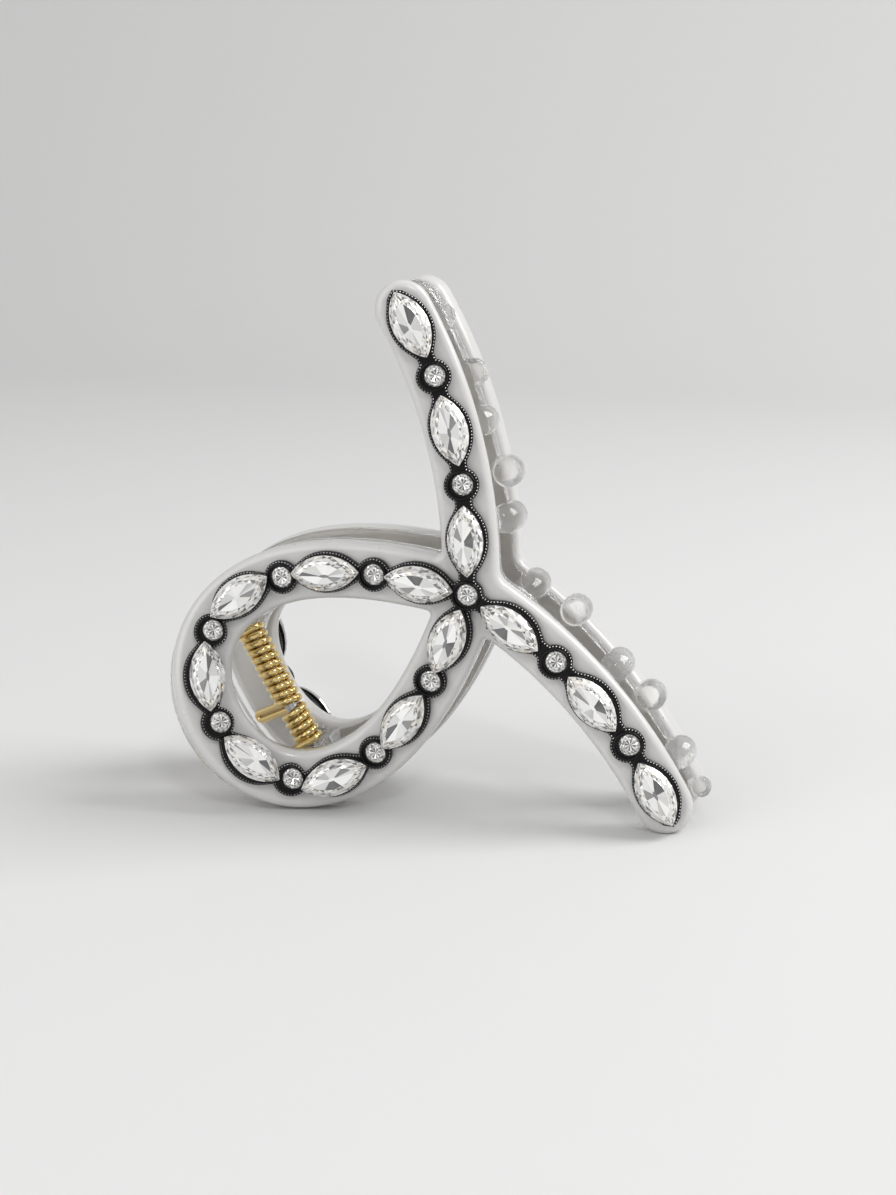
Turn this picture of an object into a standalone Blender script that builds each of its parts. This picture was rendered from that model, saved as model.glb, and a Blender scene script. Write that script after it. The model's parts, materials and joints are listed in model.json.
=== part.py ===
"""Rhinestone hair claw: two ribbon-shaped jaws on a sprung hinge pin.

Each jaw is a clear moulded frame with teeth and hinge lugs, a pale cover on its outer
side, a dark setting strip on the cover, and crystals on the strip. The ribbon is drawn
flat, in lengths along the jaw and across it, and then bent along the jaw's side profile.
The claw stands as it does on a table, on the lower edge of its loop and its lower tips.
Units are metres.
"""

import math

import bmesh
import bpy
from mathutils import Matrix, Vector

MM = 0.001

# Ribbon, drawn flat, with its start at the crossing of the two bands
LOOP_LENGTH = 40.7 * MM
LOOP_WIDTH = 28.9 * MM
ARM_LENGTH = 40.2 * MM
ARM_BEND_RADIUS = 71.0 * MM
ARM_HEADING = math.radians(31.5)
BAND_WIDTH = 8.1 * MM

# Side profile of a jaw, at the cover's outer face
JAW_HALF_DEPTH = 9.0 * MM
FLARE_START = 22.0 * MM
FLARE_RADIUS = 36.0 * MM
CLAW_START = 2.0 * MM
CLAW_RADIUS = 40.0 * MM
BEND_STEP = 5.0 * MM

# Layers of a jaw
COVER_THICKNESS = 3.4 * MM
COVER_RIM = 1.0 * MM
FRAME_THICKNESS = 2.0 * MM
FRAME_INSET = 0.2 * MM
GLUE_GAP = 0.15 * MM

# Setting strip and stones
STRIP_THICKNESS = 1.4 * MM
STRIP_NECK = 2.4 * MM
CUP_MARGIN = 0.45 * MM
COLLAR_MARGIN = 0.85 * MM
NAVETTE_LENGTH = 9.8 * MM
NAVETTE_WIDTH = 5.0 * MM
NAVETTE_HEIGHT = 1.7 * MM
CHATON_DIAMETER = 3.1 * MM
CHATON_HEIGHT = 1.9 * MM
STONE_CHAMFER = 0.7 * MM
SEAT_CLEARANCE = 0.15 * MM
ARM_STONE_PITCH = 0.1878 * ARM_LENGTH
LOOP_STONE_COUNT = 8
ARM_STONE_COUNT = 5

# Teeth along the outer edge of the arms
TOOTH_RADIUS = 2.2 * MM
TOOTH_ROOT_DEPTH = 1.0 * MM
TOOTH_BULGE = 1.7 * MM
TOOTH_CLEARANCE = 1.0 * MM
TOOTH_ROOT_SHARE = 0.45
# Shares of the arm's length, of the bulge and of the radius, for each tooth from the crossing to the tip
FRONT_UPPER_TEETH = ((0.236, 0.63, 1.0), (0.567, 0.12, 1.0), (0.928, 0.0, 1.0))
FRONT_LOWER_TEETH = ((0.159, 0.4, 1.0), (0.542, 0.86, 1.0), (0.891, 1.0, 1.0))
BACK_UPPER_TEETH = ((0.386, 1.2, 1.0), (0.721, 0.57, 1.0))
BACK_LOWER_TEETH = ((0.321, 1.3, 1.0), (0.687, 1.45, 1.0), (1.025, 1.1, 0.68))
# Shares of the bulge, of the depth before or behind the mid-plane and of the radius, from root to point
TOOTH_SHOULDER = ((0.25, 0.88, 0.9), (0.75, 0.65, 1.0))
TOOTH_BODY = ((1.0, -0.3, 1.0), (1.0, 0.8, 0.97), (1.0, 0.94, 0.82), (1.0, 1.0, 0.5))

# Hinge
HINGE_TO_CROSSING = 34.4 * MM
PIN_RADIUS = 0.9 * MM
PIN_HEAD_RADIUS = 1.7 * MM
PIN_HEAD_THICKNESS = 0.6 * MM
PIN_CLEARANCE = 0.25 * MM
LUG_RADIUS = 2.5 * MM
LUG_ROOT_WIDTH = 6.4 * MM
LUG_ROOT_DEPTH = 1.0 * MM
LUG_THICKNESS = 2.1 * MM
LUG_CLEARANCE = 0.3 * MM

# Double torsion spring
WIRE_DIAMETER = 0.75 * MM
COIL_PITCH = 1.18 * MM
COIL_RADIUS = 1.6 * MM
LONG_COIL_TURNS = 10
SHORT_COIL_TURNS = 4
POINTS_PER_TURN = 9
LEG_REACH = 9.0 * MM
LEG_CLEARANCE = 0.3 * MM

# Flats on the edges that the claw stands on
FOOT_FLAT_DEPTH = 0.3 * MM

# Facet counts of the outlines
ARM_STEPS = 7
CAP_STEPS = 8
LOOP_STEPS = 12
CHATON_SIDES = 8
NAVETTE_SIDE_STEPS = 4
CUP_SHARES = (-0.75, -0.4, 0.0, 0.4, 0.75)
LUG_ARC_STEPS = 8
PIN_SIDES = 12
TOOTH_SIDES_LEVEL = 3
WIRE_SIDES_LEVEL = 1
HAIRPIN_STEPS = 4

# Fineness of the searches along the lines
LENGTH_STEPS = 2000
ROOT_STEPS = 60
TURN_SEARCH = (0.05, 0.9)
LEAN_SEARCH = (0.0, math.pi / 3)

# Values that follow from the sizes above
BAND_HALF = BAND_WIDTH / 2
LOOP_SWELL = LOOP_WIDTH / 2 * 3 * math.sqrt(3) / 4
FRAME_TOP = -COVER_THICKNESS - GLUE_GAP
FRAME_BOTTOM = FRAME_TOP - FRAME_THICKNESS
STRIP_TOP = GLUE_GAP + STRIP_THICKNESS
COLLAR_RADIUS = CHATON_DIAMETER / 2 + COLLAR_MARGIN
ARM_CENTRE = Vector((-math.cos(ARM_HEADING), math.sin(ARM_HEADING))) * ARM_BEND_RADIUS
MERGE = 0.001 * MM
TINY = 1e-9


def clear_scene():
    """Remove every object that the scene starts with."""
    for thing in list(bpy.data.objects):
        bpy.data.objects.remove(thing, do_unlink=True)


def new_collection(name):
    """Return a fresh collection linked to the scene."""
    group = bpy.data.collections.new(name)
    bpy.context.scene.collection.children.link(group)
    return group


def new_material(name, colour, roughness, metallic=0.0):
    """Return a plain material with one colour."""
    material = bpy.data.materials.new(name)
    material.use_nodes = True
    shader = material.node_tree.nodes["Principled BSDF"]
    shader.inputs["Base Color"].default_value = (*colour, 1.0)
    shader.inputs["Roughness"].default_value = roughness
    shader.inputs["Metallic"].default_value = metallic
    return material


def find_root(function, low, high):
    """Return where a function that falls or rises through zero does so."""
    rising = function(high) > function(low)
    for _ in range(ROOT_STEPS):
        middle = (low + high) / 2
        if (function(middle) > 0) == rising:
            high = middle
        else:
            low = middle
    return (low + high) / 2


# Ribbon lines in the flat, as points (along the jaw, across it)


def loop_point(turn):
    """Point on the teardrop's centre line, turn 0 at the crossing and pi/2 at the handle end."""
    swell = 2 * LOOP_SWELL * math.sin(turn) ** 2 * math.cos(turn)
    return Vector((-LOOP_LENGTH * math.sin(turn) ** 2, swell))


def loop_heading(turn):
    """Unit direction of the teardrop's centre line, away from the crossing."""
    sine = math.sin(turn)
    cosine = math.cos(turn)
    along = -2 * LOOP_LENGTH * cosine
    across = 2 * LOOP_SWELL * (2 * cosine ** 2 - sine ** 2)
    return Vector((along, across)).normalized()


def loop_edge(turn, half_width):
    """Point beside the teardrop's centre line, outside it where half_width is positive."""
    heading = loop_heading(turn)
    return loop_point(turn) + Vector((heading.y, -heading.x)) * half_width


def loop_turns_at(distances):
    """Turn values at distances along the teardrop's centre line, with its whole length."""
    turns = spread(0.0, math.pi / 2, LENGTH_STEPS)
    points = [loop_point(turn) for turn in turns]
    lengths = [0.0]
    for a, b in zip(points, points[1:]):
        lengths.append(lengths[-1] + (b - a).length)
    found = []
    for distance in distances:
        index = 0
        while index < LENGTH_STEPS - 1 and lengths[index + 1] < distance:
            index += 1
        share = (distance - lengths[index]) / (lengths[index + 1] - lengths[index])
        found.append(turns[index] + (turns[index + 1] - turns[index]) * min(share, 1.0))
    return found, lengths[-1]


def arm_heading(distance):
    """Unit direction of an arm's centre line at a distance from the crossing."""
    angle = ARM_HEADING - distance / ARM_BEND_RADIUS
    return Vector((math.sin(angle), math.cos(angle)))


def arm_edge(distance, half_width):
    """Point beside an arm's centre line, on its toothed side where half_width is positive."""
    heading = arm_heading(distance)
    toothed = Vector((heading.y, -heading.x))
    return ARM_CENTRE + toothed * (ARM_BEND_RADIUS + half_width)


def mirrored(half):
    """Close an outline whose first and last points lie on the jaw's middle line."""
    return half + [Vector((p.x, -p.y)) for p in reversed(half[1:-1])]


def spread(low, high, steps):
    """Evenly spaced values from low to high, both included."""
    return [low + (high - low) * i / steps for i in range(steps + 1)]


def band_outlines(half_width):
    """Outer outline and loop hole of the whole ribbon at a half width."""
    outer_radius = ARM_BEND_RADIUS + half_width
    inner_radius = ARM_BEND_RADIUS - half_width
    notch_angle = math.asin(ARM_BEND_RADIUS * math.sin(ARM_HEADING) / outer_radius)
    front_notch = ARM_BEND_RADIUS * (ARM_HEADING - notch_angle)
    side_turn = find_root(
        lambda turn: (loop_edge(turn, half_width) - ARM_CENTRE).length - inner_radius, *TURN_SEARCH
    )
    side = loop_edge(side_turn, half_width) - ARM_CENTRE
    side_notch = ARM_BEND_RADIUS * (ARM_HEADING + math.atan2(side.y, side.x))
    half = [arm_edge(d, half_width) for d in spread(front_notch, ARM_LENGTH, ARM_STEPS)]
    tip = arm_edge(ARM_LENGTH, 0.0)
    heading = arm_heading(ARM_LENGTH)
    toothed = Vector((heading.y, -heading.x))
    for angle in spread(0.0, math.pi, CAP_STEPS)[1:-1]:
        half.append(tip + (toothed * math.cos(angle) + heading * math.sin(angle)) * half_width)
    half += [arm_edge(d, -half_width) for d in spread(ARM_LENGTH, side_notch, ARM_STEPS)[:-1]]
    half += [loop_edge(turn, half_width) for turn in spread(side_turn, math.pi / 2, LOOP_STEPS)]
    apex = find_root(lambda turn: loop_edge(turn, -half_width).y, *TURN_SEARCH)
    hole = [loop_edge(turn, -half_width) for turn in spread(apex, math.pi / 2, LOOP_STEPS)]
    return mirrored(half), mirrored(hole)


def lens_half_width(x, half_length, half_width):
    """Half width of a pointed oval at a distance x from its middle."""
    arc = (half_length ** 2 + half_width ** 2) / (2 * half_width)
    return math.sqrt(max(arc ** 2 - x ** 2, 0.0)) - (arc - half_width)


def strip_offsets(count, pitch, total):
    """Distances along a branch, with half widths, that draw its scalloped edge."""
    cup_length = NAVETTE_LENGTH / 2 + CUP_MARGIN
    cup_width = NAVETTE_WIDTH / 2 + CUP_MARGIN
    neck = STRIP_NECK / 2
    leave = math.sqrt(COLLAR_RADIUS ** 2 - neck ** 2)
    edge = [(leave, neck)]
    for station in range(1, count + 1):
        middle = station * pitch
        if station % 2:
            for share in CUP_SHARES:
                x = share * cup_length
                edge.append((middle + x, max(neck, lens_half_width(x, cup_length, cup_width))))
        else:
            for x in (-leave, 0.0, leave):
                half = math.sqrt(COLLAR_RADIUS ** 2 - x ** 2)
                if middle + x <= total + TINY:
                    edge.append((middle + x, half))
    return edge


def strip_outlines(loop_total, loop_pitch):
    """Outer outline and loop hole of the setting strip."""
    arm = strip_offsets(ARM_STONE_COUNT, ARM_STONE_PITCH, ARM_LENGTH + BAND_HALF)
    loop = strip_offsets(LOOP_STONE_COUNT, loop_pitch, loop_total)
    turns, _ = loop_turns_at([d for d, _ in loop])
    end = ARM_STONE_COUNT * ARM_STONE_PITCH + NAVETTE_LENGTH / 2 + CUP_MARGIN
    half = [Vector((COLLAR_RADIUS, 0.0))]
    half += [arm_edge(d, w) for d, w in arm]
    half += [arm_edge(end, 0.0)]
    half += [arm_edge(d, -w) for d, w in reversed(arm)]
    half += [loop_edge(turn, w) for turn, (_, w) in zip(turns, loop)]
    hole = [Vector((-COLLAR_RADIUS, 0.0))]
    hole += [loop_edge(turn, -w) for turn, (_, w) in zip(turns, loop)]
    return mirrored(half), mirrored(hole)


# Bending from the flat to a jaw's own frame: x from hinge to teeth, -y outwards, z along the pin


def profile(along):
    """Place (along, out) of the cover's face at a flat length, and its lean."""
    if along > CLAW_START:
        lean = (along - CLAW_START) / CLAW_RADIUS
        place = CLAW_START + CLAW_RADIUS * math.sin(lean)
        return place, JAW_HALF_DEPTH - CLAW_RADIUS * (1 - math.cos(lean)), lean
    if along < -FLARE_START:
        lean = (-FLARE_START - along) / FLARE_RADIUS
        place = -FLARE_START - FLARE_RADIUS * math.sin(lean)
        return place, JAW_HALF_DEPTH + FLARE_RADIUS * (1 - math.cos(lean)), lean
    return along, JAW_HALF_DEPTH, 0.0


def bent(along, across, height):
    """Place in the jaw's frame of a flat point at a height over the cover's face."""
    place, out, lean = profile(along)
    place += height * math.sin(lean)
    out += height * math.cos(lean)
    return Vector((place + HINGE_TO_CROSSING, -out, across))


def seat_frame(along, across, height, turn):
    """Matrix that seats a piece on the bent jaw, its long side turned in the flat."""
    _, _, lean = profile(along)
    tangent = Vector((math.cos(lean), math.sin(lean), 0.0))
    normal = Vector((math.sin(lean), -math.cos(lean), 0.0))
    axes = Matrix((tangent, Vector((0.0, 0.0, 1.0)), normal)).transposed().to_4x4()
    place = Matrix.Translation(bent(along, across, height))
    return place @ axes @ Matrix.Rotation(turn, 4, "Z")


def inner_face(place):
    """Distance from the mid-plane of the frame's inner face at a place along the flared handle."""
    reach = FLARE_RADIUS - FRAME_BOTTOM
    return JAW_HALF_DEPTH + FLARE_RADIUS - math.sqrt(reach ** 2 - (place + FLARE_START) ** 2)


# Meshes


def mesh_from_curve(curve_object):
    """Turn a curve object into a welded mesh and remove the curve."""
    graph = bpy.context.evaluated_depsgraph_get()
    mesh = bpy.data.meshes.new_from_object(curve_object.evaluated_get(graph))
    curve = curve_object.data
    bpy.data.objects.remove(curve_object, do_unlink=True)
    bpy.data.curves.remove(curve)
    work = bmesh.new()
    work.from_mesh(mesh)
    bmesh.ops.remove_doubles(work, verts=work.verts, dist=MERGE)
    bmesh.ops.recalc_face_normals(work, faces=work.faces)
    work.to_mesh(mesh)
    work.free()
    return mesh


def flat_solid(name, outlines, bottom, top, rim=0.0):
    """Mesh of a plate between two heights, from outlines in the flat, with bevelled rims."""
    curve = bpy.data.curves.new(name, "CURVE")
    curve.dimensions = "2D"
    curve.fill_mode = "BOTH"
    curve.extrude = (top - bottom) / 2 - rim
    curve.bevel_depth = rim
    curve.bevel_resolution = 0
    curve.offset = -rim
    for outline in outlines:
        spline = curve.splines.new("POLY")
        spline.points.add(len(outline) - 1)
        for point, place in zip(spline.points, outline):
            point.co = (place.x, place.y, 0.0, 1.0)
        spline.use_cyclic_u = True
    holder = bpy.data.objects.new(name, curve)
    bpy.context.scene.collection.objects.link(holder)
    mesh = mesh_from_curve(holder)
    mesh.transform(Matrix.Translation((0.0, 0.0, (top + bottom) / 2)))
    return mesh


def tube(name, points, radii, sides_level):
    """Mesh of a closed tube along points, each with its own radius."""
    curve = bpy.data.curves.new(name, "CURVE")
    curve.dimensions = "3D"
    curve.bevel_depth = 1.0
    curve.bevel_resolution = sides_level
    curve.use_fill_caps = True
    spline = curve.splines.new("POLY")
    spline.points.add(len(points) - 1)
    for point, place, radius in zip(spline.points, points, radii):
        point.co = (*place, 1.0)
        point.radius = radius
    holder = bpy.data.objects.new(name, curve)
    bpy.context.scene.collection.objects.link(holder)
    return mesh_from_curve(holder)


def bend_mesh(mesh):
    """Cut a flat mesh across the jaw at even steps and bend it along the side profile."""
    work = bmesh.new()
    work.from_mesh(mesh)
    flare_steps = math.ceil((LOOP_LENGTH + BAND_HALF - FLARE_START) / BEND_STEP)
    cuts = [-FLARE_START - i * BEND_STEP for i in range(flare_steps + 1)]
    reach = max(v.co.x for v in work.verts)
    cuts += [CLAW_START + i * BEND_STEP for i in range(math.ceil((reach - CLAW_START) / BEND_STEP))]
    for cut in cuts:
        parts = work.verts[:] + work.edges[:] + work.faces[:]
        bmesh.ops.bisect_plane(work, geom=parts, dist=MERGE, plane_co=(cut, 0, 0), plane_no=(1, 0, 0))
    bmesh.ops.remove_doubles(work, verts=work.verts, dist=MERGE)
    bmesh.ops.triangulate(work, faces=work.faces)
    for vertex in work.verts:
        vertex.co = bent(*vertex.co)
    work.to_mesh(mesh)
    work.free()


def add_object(name, mesh, material, group, parent=None):
    """Put a mesh in a collection as a named object."""
    thing = bpy.data.objects.new(name, mesh)
    mesh.name = name
    mesh.materials.append(material)
    group.objects.link(thing)
    thing.parent = parent
    return thing


def add_tool(name, mesh, group, parent=None):
    """Put a mesh in the cutters' collection, as a hidden wire shape."""
    thing = bpy.data.objects.new(name, mesh)
    group.objects.link(thing)
    thing.parent = parent
    thing.hide_render = True
    thing.display_type = "WIRE"
    return thing


def combine(target, tool, operation):
    """Add a Boolean with a tool to an object."""
    modifier = target.modifiers.new(tool.name, "BOOLEAN")
    modifier.operation = operation
    modifier.object = tool
    modifier.solver = "EXACT"


# Sub-parts


def stone_outline(is_navette):
    """Girdle outline of a stone: a pointed oval, or a regular polygon."""
    if not is_navette:
        steps = range(CHATON_SIDES)
        angles = [2 * math.pi * (i + 0.5) / CHATON_SIDES for i in steps]
        return [Vector((math.cos(a), math.sin(a))) * CHATON_DIAMETER / 2 for a in angles]
    half_length = NAVETTE_LENGTH / 2
    half_width = NAVETTE_WIDTH / 2
    side = []
    for x in spread(-half_length, half_length, NAVETTE_SIDE_STEPS):
        side.append(Vector((x, lens_half_width(x, half_length, half_width))))
    return mirrored(side)


def cut_stone(name, outline, height):
    """Mesh of a stone with a flat back, an upright girdle and a crown that slopes to its table."""
    mesh = bpy.data.meshes.new(name)
    work = bmesh.new()
    corners = [work.verts.new((p.x, p.y, 0.0)) for p in outline]
    back = bmesh.ops.contextual_create(work, geom=corners)["faces"]
    rise = Vector((0.0, 0.0, height - STONE_CHAMFER))
    girdle = bmesh.ops.extrude_face_region(work, geom=back, use_keep_orig=True)["geom"]
    top = [part for part in girdle if isinstance(part, bmesh.types.BMFace)]
    bmesh.ops.translate(work, verts=top[0].verts[:], vec=rise)
    bmesh.ops.inset_region(work, faces=top, thickness=STONE_CHAMFER, depth=0.0)
    bmesh.ops.translate(work, verts=top[0].verts[:], vec=(0.0, 0.0, STONE_CHAMFER))
    bmesh.ops.recalc_face_normals(work, faces=work.faces)
    work.to_mesh(mesh)
    work.free()
    return mesh


def seat_lift(outline, along, across, turn):
    """Height that keeps a flat stone clear of the strip where the strip curves up around it."""
    frame = seat_frame(along, across, STRIP_TOP, turn)
    to_stone = frame.inverted()
    rotate = Matrix.Rotation(turn, 2)
    lifts = [0.0]
    for point in outline:
        flat = rotate @ point
        lifts.append((to_stone @ bent(along + flat.x, across + flat.y, STRIP_TOP)).z)
    return max(lifts)


def add_stone(name, along, across, turn, is_navette, materials, group, pivot):
    """Add one crystal, on the strip if it is a navette and in a hole of the strip if not."""
    outline = stone_outline(is_navette)
    height = NAVETTE_HEIGHT if is_navette else CHATON_HEIGHT
    mesh = cut_stone(name, outline, height)
    base = GLUE_GAP + SEAT_CLEARANCE
    if is_navette:
        base = STRIP_TOP + SEAT_CLEARANCE + seat_lift(outline, along, across, turn)
    mesh.transform(seat_frame(along, across, base, turn))
    add_object(name, mesh, materials["crystal"], group, pivot)


def stone_places():
    """Name, place, turn and kind of every stone on one jaw, with the loop's stone pitch."""
    _, loop_total = loop_turns_at([])
    loop_pitch = loop_total / LOOP_STONE_COUNT
    turns, _ = loop_turns_at([loop_pitch * k for k in range(1, LOOP_STONE_COUNT + 1)])
    places = [("crossing_chaton", 0.0, 0.0, 0.0, False)]
    places.append(("handle_chaton", -LOOP_LENGTH, 0.0, 0.0, False))
    for side, sign in (("upper", 1), ("lower", -1)):
        for station in range(1, ARM_STONE_COUNT + 1):
            distance = station * ARM_STONE_PITCH
            place = arm_edge(distance, 0.0)
            heading = arm_heading(distance)
            kind = "navette" if station % 2 else "chaton"
            name = f"{side}_arm_{kind}_{(station + 1) // 2}"
            turn = math.atan2(heading.y * sign, heading.x)
            places.append((name, place.x, place.y * sign, turn, station % 2 == 1))
        for station in range(1, LOOP_STONE_COUNT):
            place = loop_point(turns[station - 1])
            heading = loop_heading(turns[station - 1])
            kind = "navette" if station % 2 else "chaton"
            name = f"{side}_loop_{kind}_{(station + 1) // 2}"
            turn = math.atan2(heading.y * sign, heading.x)
            places.append((name, place.x, place.y * sign, turn, station % 2 == 1))
    return places, loop_total, loop_pitch


def add_setting(name, places, loop_total, loop_pitch, material, group, pivot):
    """Add the dark strip, with a hole under each round stone."""
    outlines = list(strip_outlines(loop_total, loop_pitch))
    hole_scale = (CHATON_DIAMETER / 2 + SEAT_CLEARANCE) / (CHATON_DIAMETER / 2)
    for _, along, across, _, is_navette in places:
        if not is_navette:
            middle = Vector((along, across))
            outlines.append([middle + point * hole_scale for point in stone_outline(False)])
    mesh = flat_solid(name, outlines, GLUE_GAP, STRIP_TOP)
    bend_mesh(mesh)
    add_object(name, mesh, material, group, pivot)


def add_tooth(name, tooth, sign, tools, pivot):
    """Add the shape of one tooth: a bent round peg from the arm's edge to the other jaw."""
    along_share, bulge_share, radius_share = tooth
    distance = along_share * ARM_LENGTH
    bulge = bulge_share * TOOTH_BULGE
    radius = radius_share * TOOTH_RADIUS
    edge_half = BAND_HALF - FRAME_INSET
    heading = arm_heading(distance)
    outward = Vector((heading.y, -heading.x * sign))
    edge = arm_edge(distance, edge_half)
    foot = bent(edge.x, edge.y * sign, FRAME_BOTTOM)
    depth = -foot.y
    reach = depth - TOOTH_CLEARANCE
    path = [(-radius, depth + TOOTH_ROOT_DEPTH, TOOTH_ROOT_SHARE)]
    path += [(bulge * out, depth * level, share) for out, level, share in TOOTH_SHOULDER]
    path += [(bulge * out, -reach * level, share) for out, level, share in TOOTH_BODY]
    points = []
    for offset, level, _ in path:
        points.append((foot.x + outward.x * offset, -level, foot.z + outward.y * offset))
    radii = [share * radius for _, _, share in path]
    return add_tool(name, tube(name, points, radii, TOOTH_SIDES_LEVEL), tools, pivot)


def add_lug(name, level, tools, pivot):
    """Add the shape of one hinge lug: a round end on the pin and a web to the frame."""
    outline = []
    for angle in spread(0.0, math.pi, LUG_ARC_STEPS):
        outline.append(Vector((math.cos(angle), math.sin(angle))) * LUG_RADIUS)
    for side in (-1, 1):
        place = side * LUG_ROOT_WIDTH / 2
        depth = inner_face(place - HINGE_TO_CROSSING) + LUG_ROOT_DEPTH
        outline.append(Vector((place, -depth)))
    half = LUG_THICKNESS / 2
    return add_tool(name, flat_solid(name, [outline], level - half, level + half), tools, pivot)


def add_frame(name, teeth, lug_level, material, group, tools, pivot):
    """Add a clear frame: the ribbon plate with its teeth and its pair of bored lugs."""
    mesh = flat_solid(name, band_outlines(BAND_HALF - FRAME_INSET), FRAME_BOTTOM, FRAME_TOP)
    bend_mesh(mesh)
    frame = add_object(name, mesh, material, group, pivot)
    for sign, row in zip((1, -1), teeth):
        side = "upper" if sign > 0 else "lower"
        for number, tooth in enumerate(row, 1):
            peg = add_tooth(f"{name}_{side}_tooth_{number}", tooth, sign, tools, pivot)
            combine(frame, peg, "UNION")
        combine(frame, add_lug(f"{name}_{side}_lug", sign * lug_level, tools, pivot), "UNION")
    bore_length = 2 * (lug_level + LUG_THICKNESS)
    bore = new_cylinder(PIN_RADIUS + PIN_CLEARANCE, bore_length)
    combine(frame, add_tool(f"{name}_bore", bore, tools, pivot), "DIFFERENCE")
    return frame


def new_cylinder(radius, length):
    """Mesh of a capped cylinder along z, centred."""
    mesh = bpy.data.meshes.new("cylinder")
    work = bmesh.new()
    bmesh.ops.create_cone(
        work, cap_ends=True, segments=PIN_SIDES, radius1=radius, radius2=radius, depth=length
    )
    work.to_mesh(mesh)
    work.free()
    return mesh


def add_pin(half_length, material, group, pivot):
    """Add the hinge pin, turned with a head at each end."""
    head = PIN_HEAD_THICKNESS
    rows = [(0.0, half_length + head), (PIN_HEAD_RADIUS, half_length + head)]
    rows += [(PIN_HEAD_RADIUS, half_length), (PIN_RADIUS, half_length)]
    rows += [(radius, -level) for radius, level in reversed(rows)]
    mesh = bpy.data.meshes.new("hinge_pin")
    work = bmesh.new()
    corners = [work.verts.new((radius, 0.0, level)) for radius, level in rows]
    for a, b in zip(corners, corners[1:]):
        work.edges.new((a, b))
    work.to_mesh(mesh)
    work.free()
    pin = add_object("hinge_pin", mesh, material, group, pivot)
    screw = pin.modifiers.new("turn", "SCREW")
    screw.steps = PIN_SIDES
    screw.render_steps = PIN_SIDES
    screw.use_merge_vertices = True
    screw.merge_threshold = MERGE


def coil_point(turn, level):
    """Point of a coil at a turn about the pin and a level along it."""
    return Vector((COIL_RADIUS * math.cos(turn), COIL_RADIUS * math.sin(turn), level))


def spring_line():
    """Centre line of the double spring, from its upper leg to its lower leg."""
    wall = LEG_CLEARANCE + WIRE_DIAMETER / 2
    leg_depth = inner_face(-HINGE_TO_CROSSING - LEG_REACH) - wall
    foot = Vector((-LEG_REACH, -leg_depth))
    bearing = math.atan2(foot.y, foot.x)
    leave = bearing + math.acos(COIL_RADIUS / foot.length)
    sweep = -2 * leave % (2 * math.pi)
    long_sweep = sweep + 2 * math.pi * LONG_COIL_TURNS
    short_sweep = sweep + 2 * math.pi * SHORT_COIL_TURNS
    drop = COIL_PITCH / (2 * math.pi)
    level = (long_sweep + short_sweep) * drop / 2 + COIL_PITCH / 2
    points = [Vector((foot.x, foot.y, level))]
    for angle in spread(0.0, long_sweep, round(POINTS_PER_TURN * long_sweep / (2 * math.pi))):
        points.append(coil_point(leave + angle, level - angle * drop))
    level -= long_sweep * drop
    run = (Vector((foot.x, -foot.y, 0.0)) - Vector((points[-1].x, points[-1].y, 0.0))).normalized()
    hook = COIL_PITCH / 2
    bend = Vector((foot.x, -foot.y, level)) - run * hook
    for angle in spread(0.0, math.pi, HAIRPIN_STEPS):
        points.append(bend + run * hook * math.sin(angle) - Vector((0, 0, hook)) * (1 - math.cos(angle)))
    level -= COIL_PITCH
    for angle in spread(0.0, short_sweep, round(POINTS_PER_TURN * short_sweep / (2 * math.pi))):
        points.append(coil_point(-leave - angle, level - angle * drop))
    level -= short_sweep * drop
    points.append(Vector((foot.x, foot.y, level)))
    return points


def least_gap(points):
    """Least clear gap between points of the wire that lie more than half a turn apart."""
    reach = POINTS_PER_TURN // 2
    gaps = []
    for i, a in enumerate(points):
        for b in points[i + reach:]:
            gaps.append((b - a).length)
    return min(gaps) - WIRE_DIAMETER


def add_spring(material, group, pivot):
    """Add the spring as one unbroken wire."""
    points = spring_line()
    print(f"spring: least gap to itself {least_gap(points) / MM:.2f} mm")
    radii = [WIRE_DIAMETER / 2] * len(points)
    wire = tube("torsion_spring", points, radii, WIRE_SIDES_LEVEL)
    add_object("torsion_spring", wire, material, group, pivot)


def new_pivot(name, group, parent=None):
    """Add an empty that carries pieces."""
    pivot = bpy.data.objects.new(name, None)
    group.objects.link(pivot)
    pivot.parent = parent
    return pivot


def turned_name(name):
    """Name of a stone on the turned-over jaw, whose own upper side is the lower one."""
    first, _, rest = name.partition("_")
    swap = {"upper": "lower", "lower": "upper"}
    return f"{swap.get(first, first)}_{rest}"


def add_jaw(side, teeth, lug_level, materials, group, tools, stand):
    """Add one jaw on its own pivot, whose origin is on the hinge axis."""
    pivot = new_pivot(f"{side}_jaw_pivot", group, stand)
    frame = add_frame(f"{side}_frame", teeth, lug_level, materials["clear"], group, tools, pivot)
    cover_name = f"{side}_cover"
    cover_mesh = flat_solid(cover_name, band_outlines(BAND_HALF), -COVER_THICKNESS, 0.0, COVER_RIM)
    bend_mesh(cover_mesh)
    cover = add_object(cover_name, cover_mesh, materials["cover"], group, pivot)
    places, loop_total, loop_pitch = stone_places()
    add_setting(f"{side}_setting", places, loop_total, loop_pitch, materials["setting"], group, pivot)
    for own_name, along, across, turn, is_navette in places:
        name = turned_name(own_name) if side == "back" else own_name
        add_stone(f"{side}_{name}", along, across, turn, is_navette, materials, group, pivot)
    return pivot, frame, cover


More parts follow.
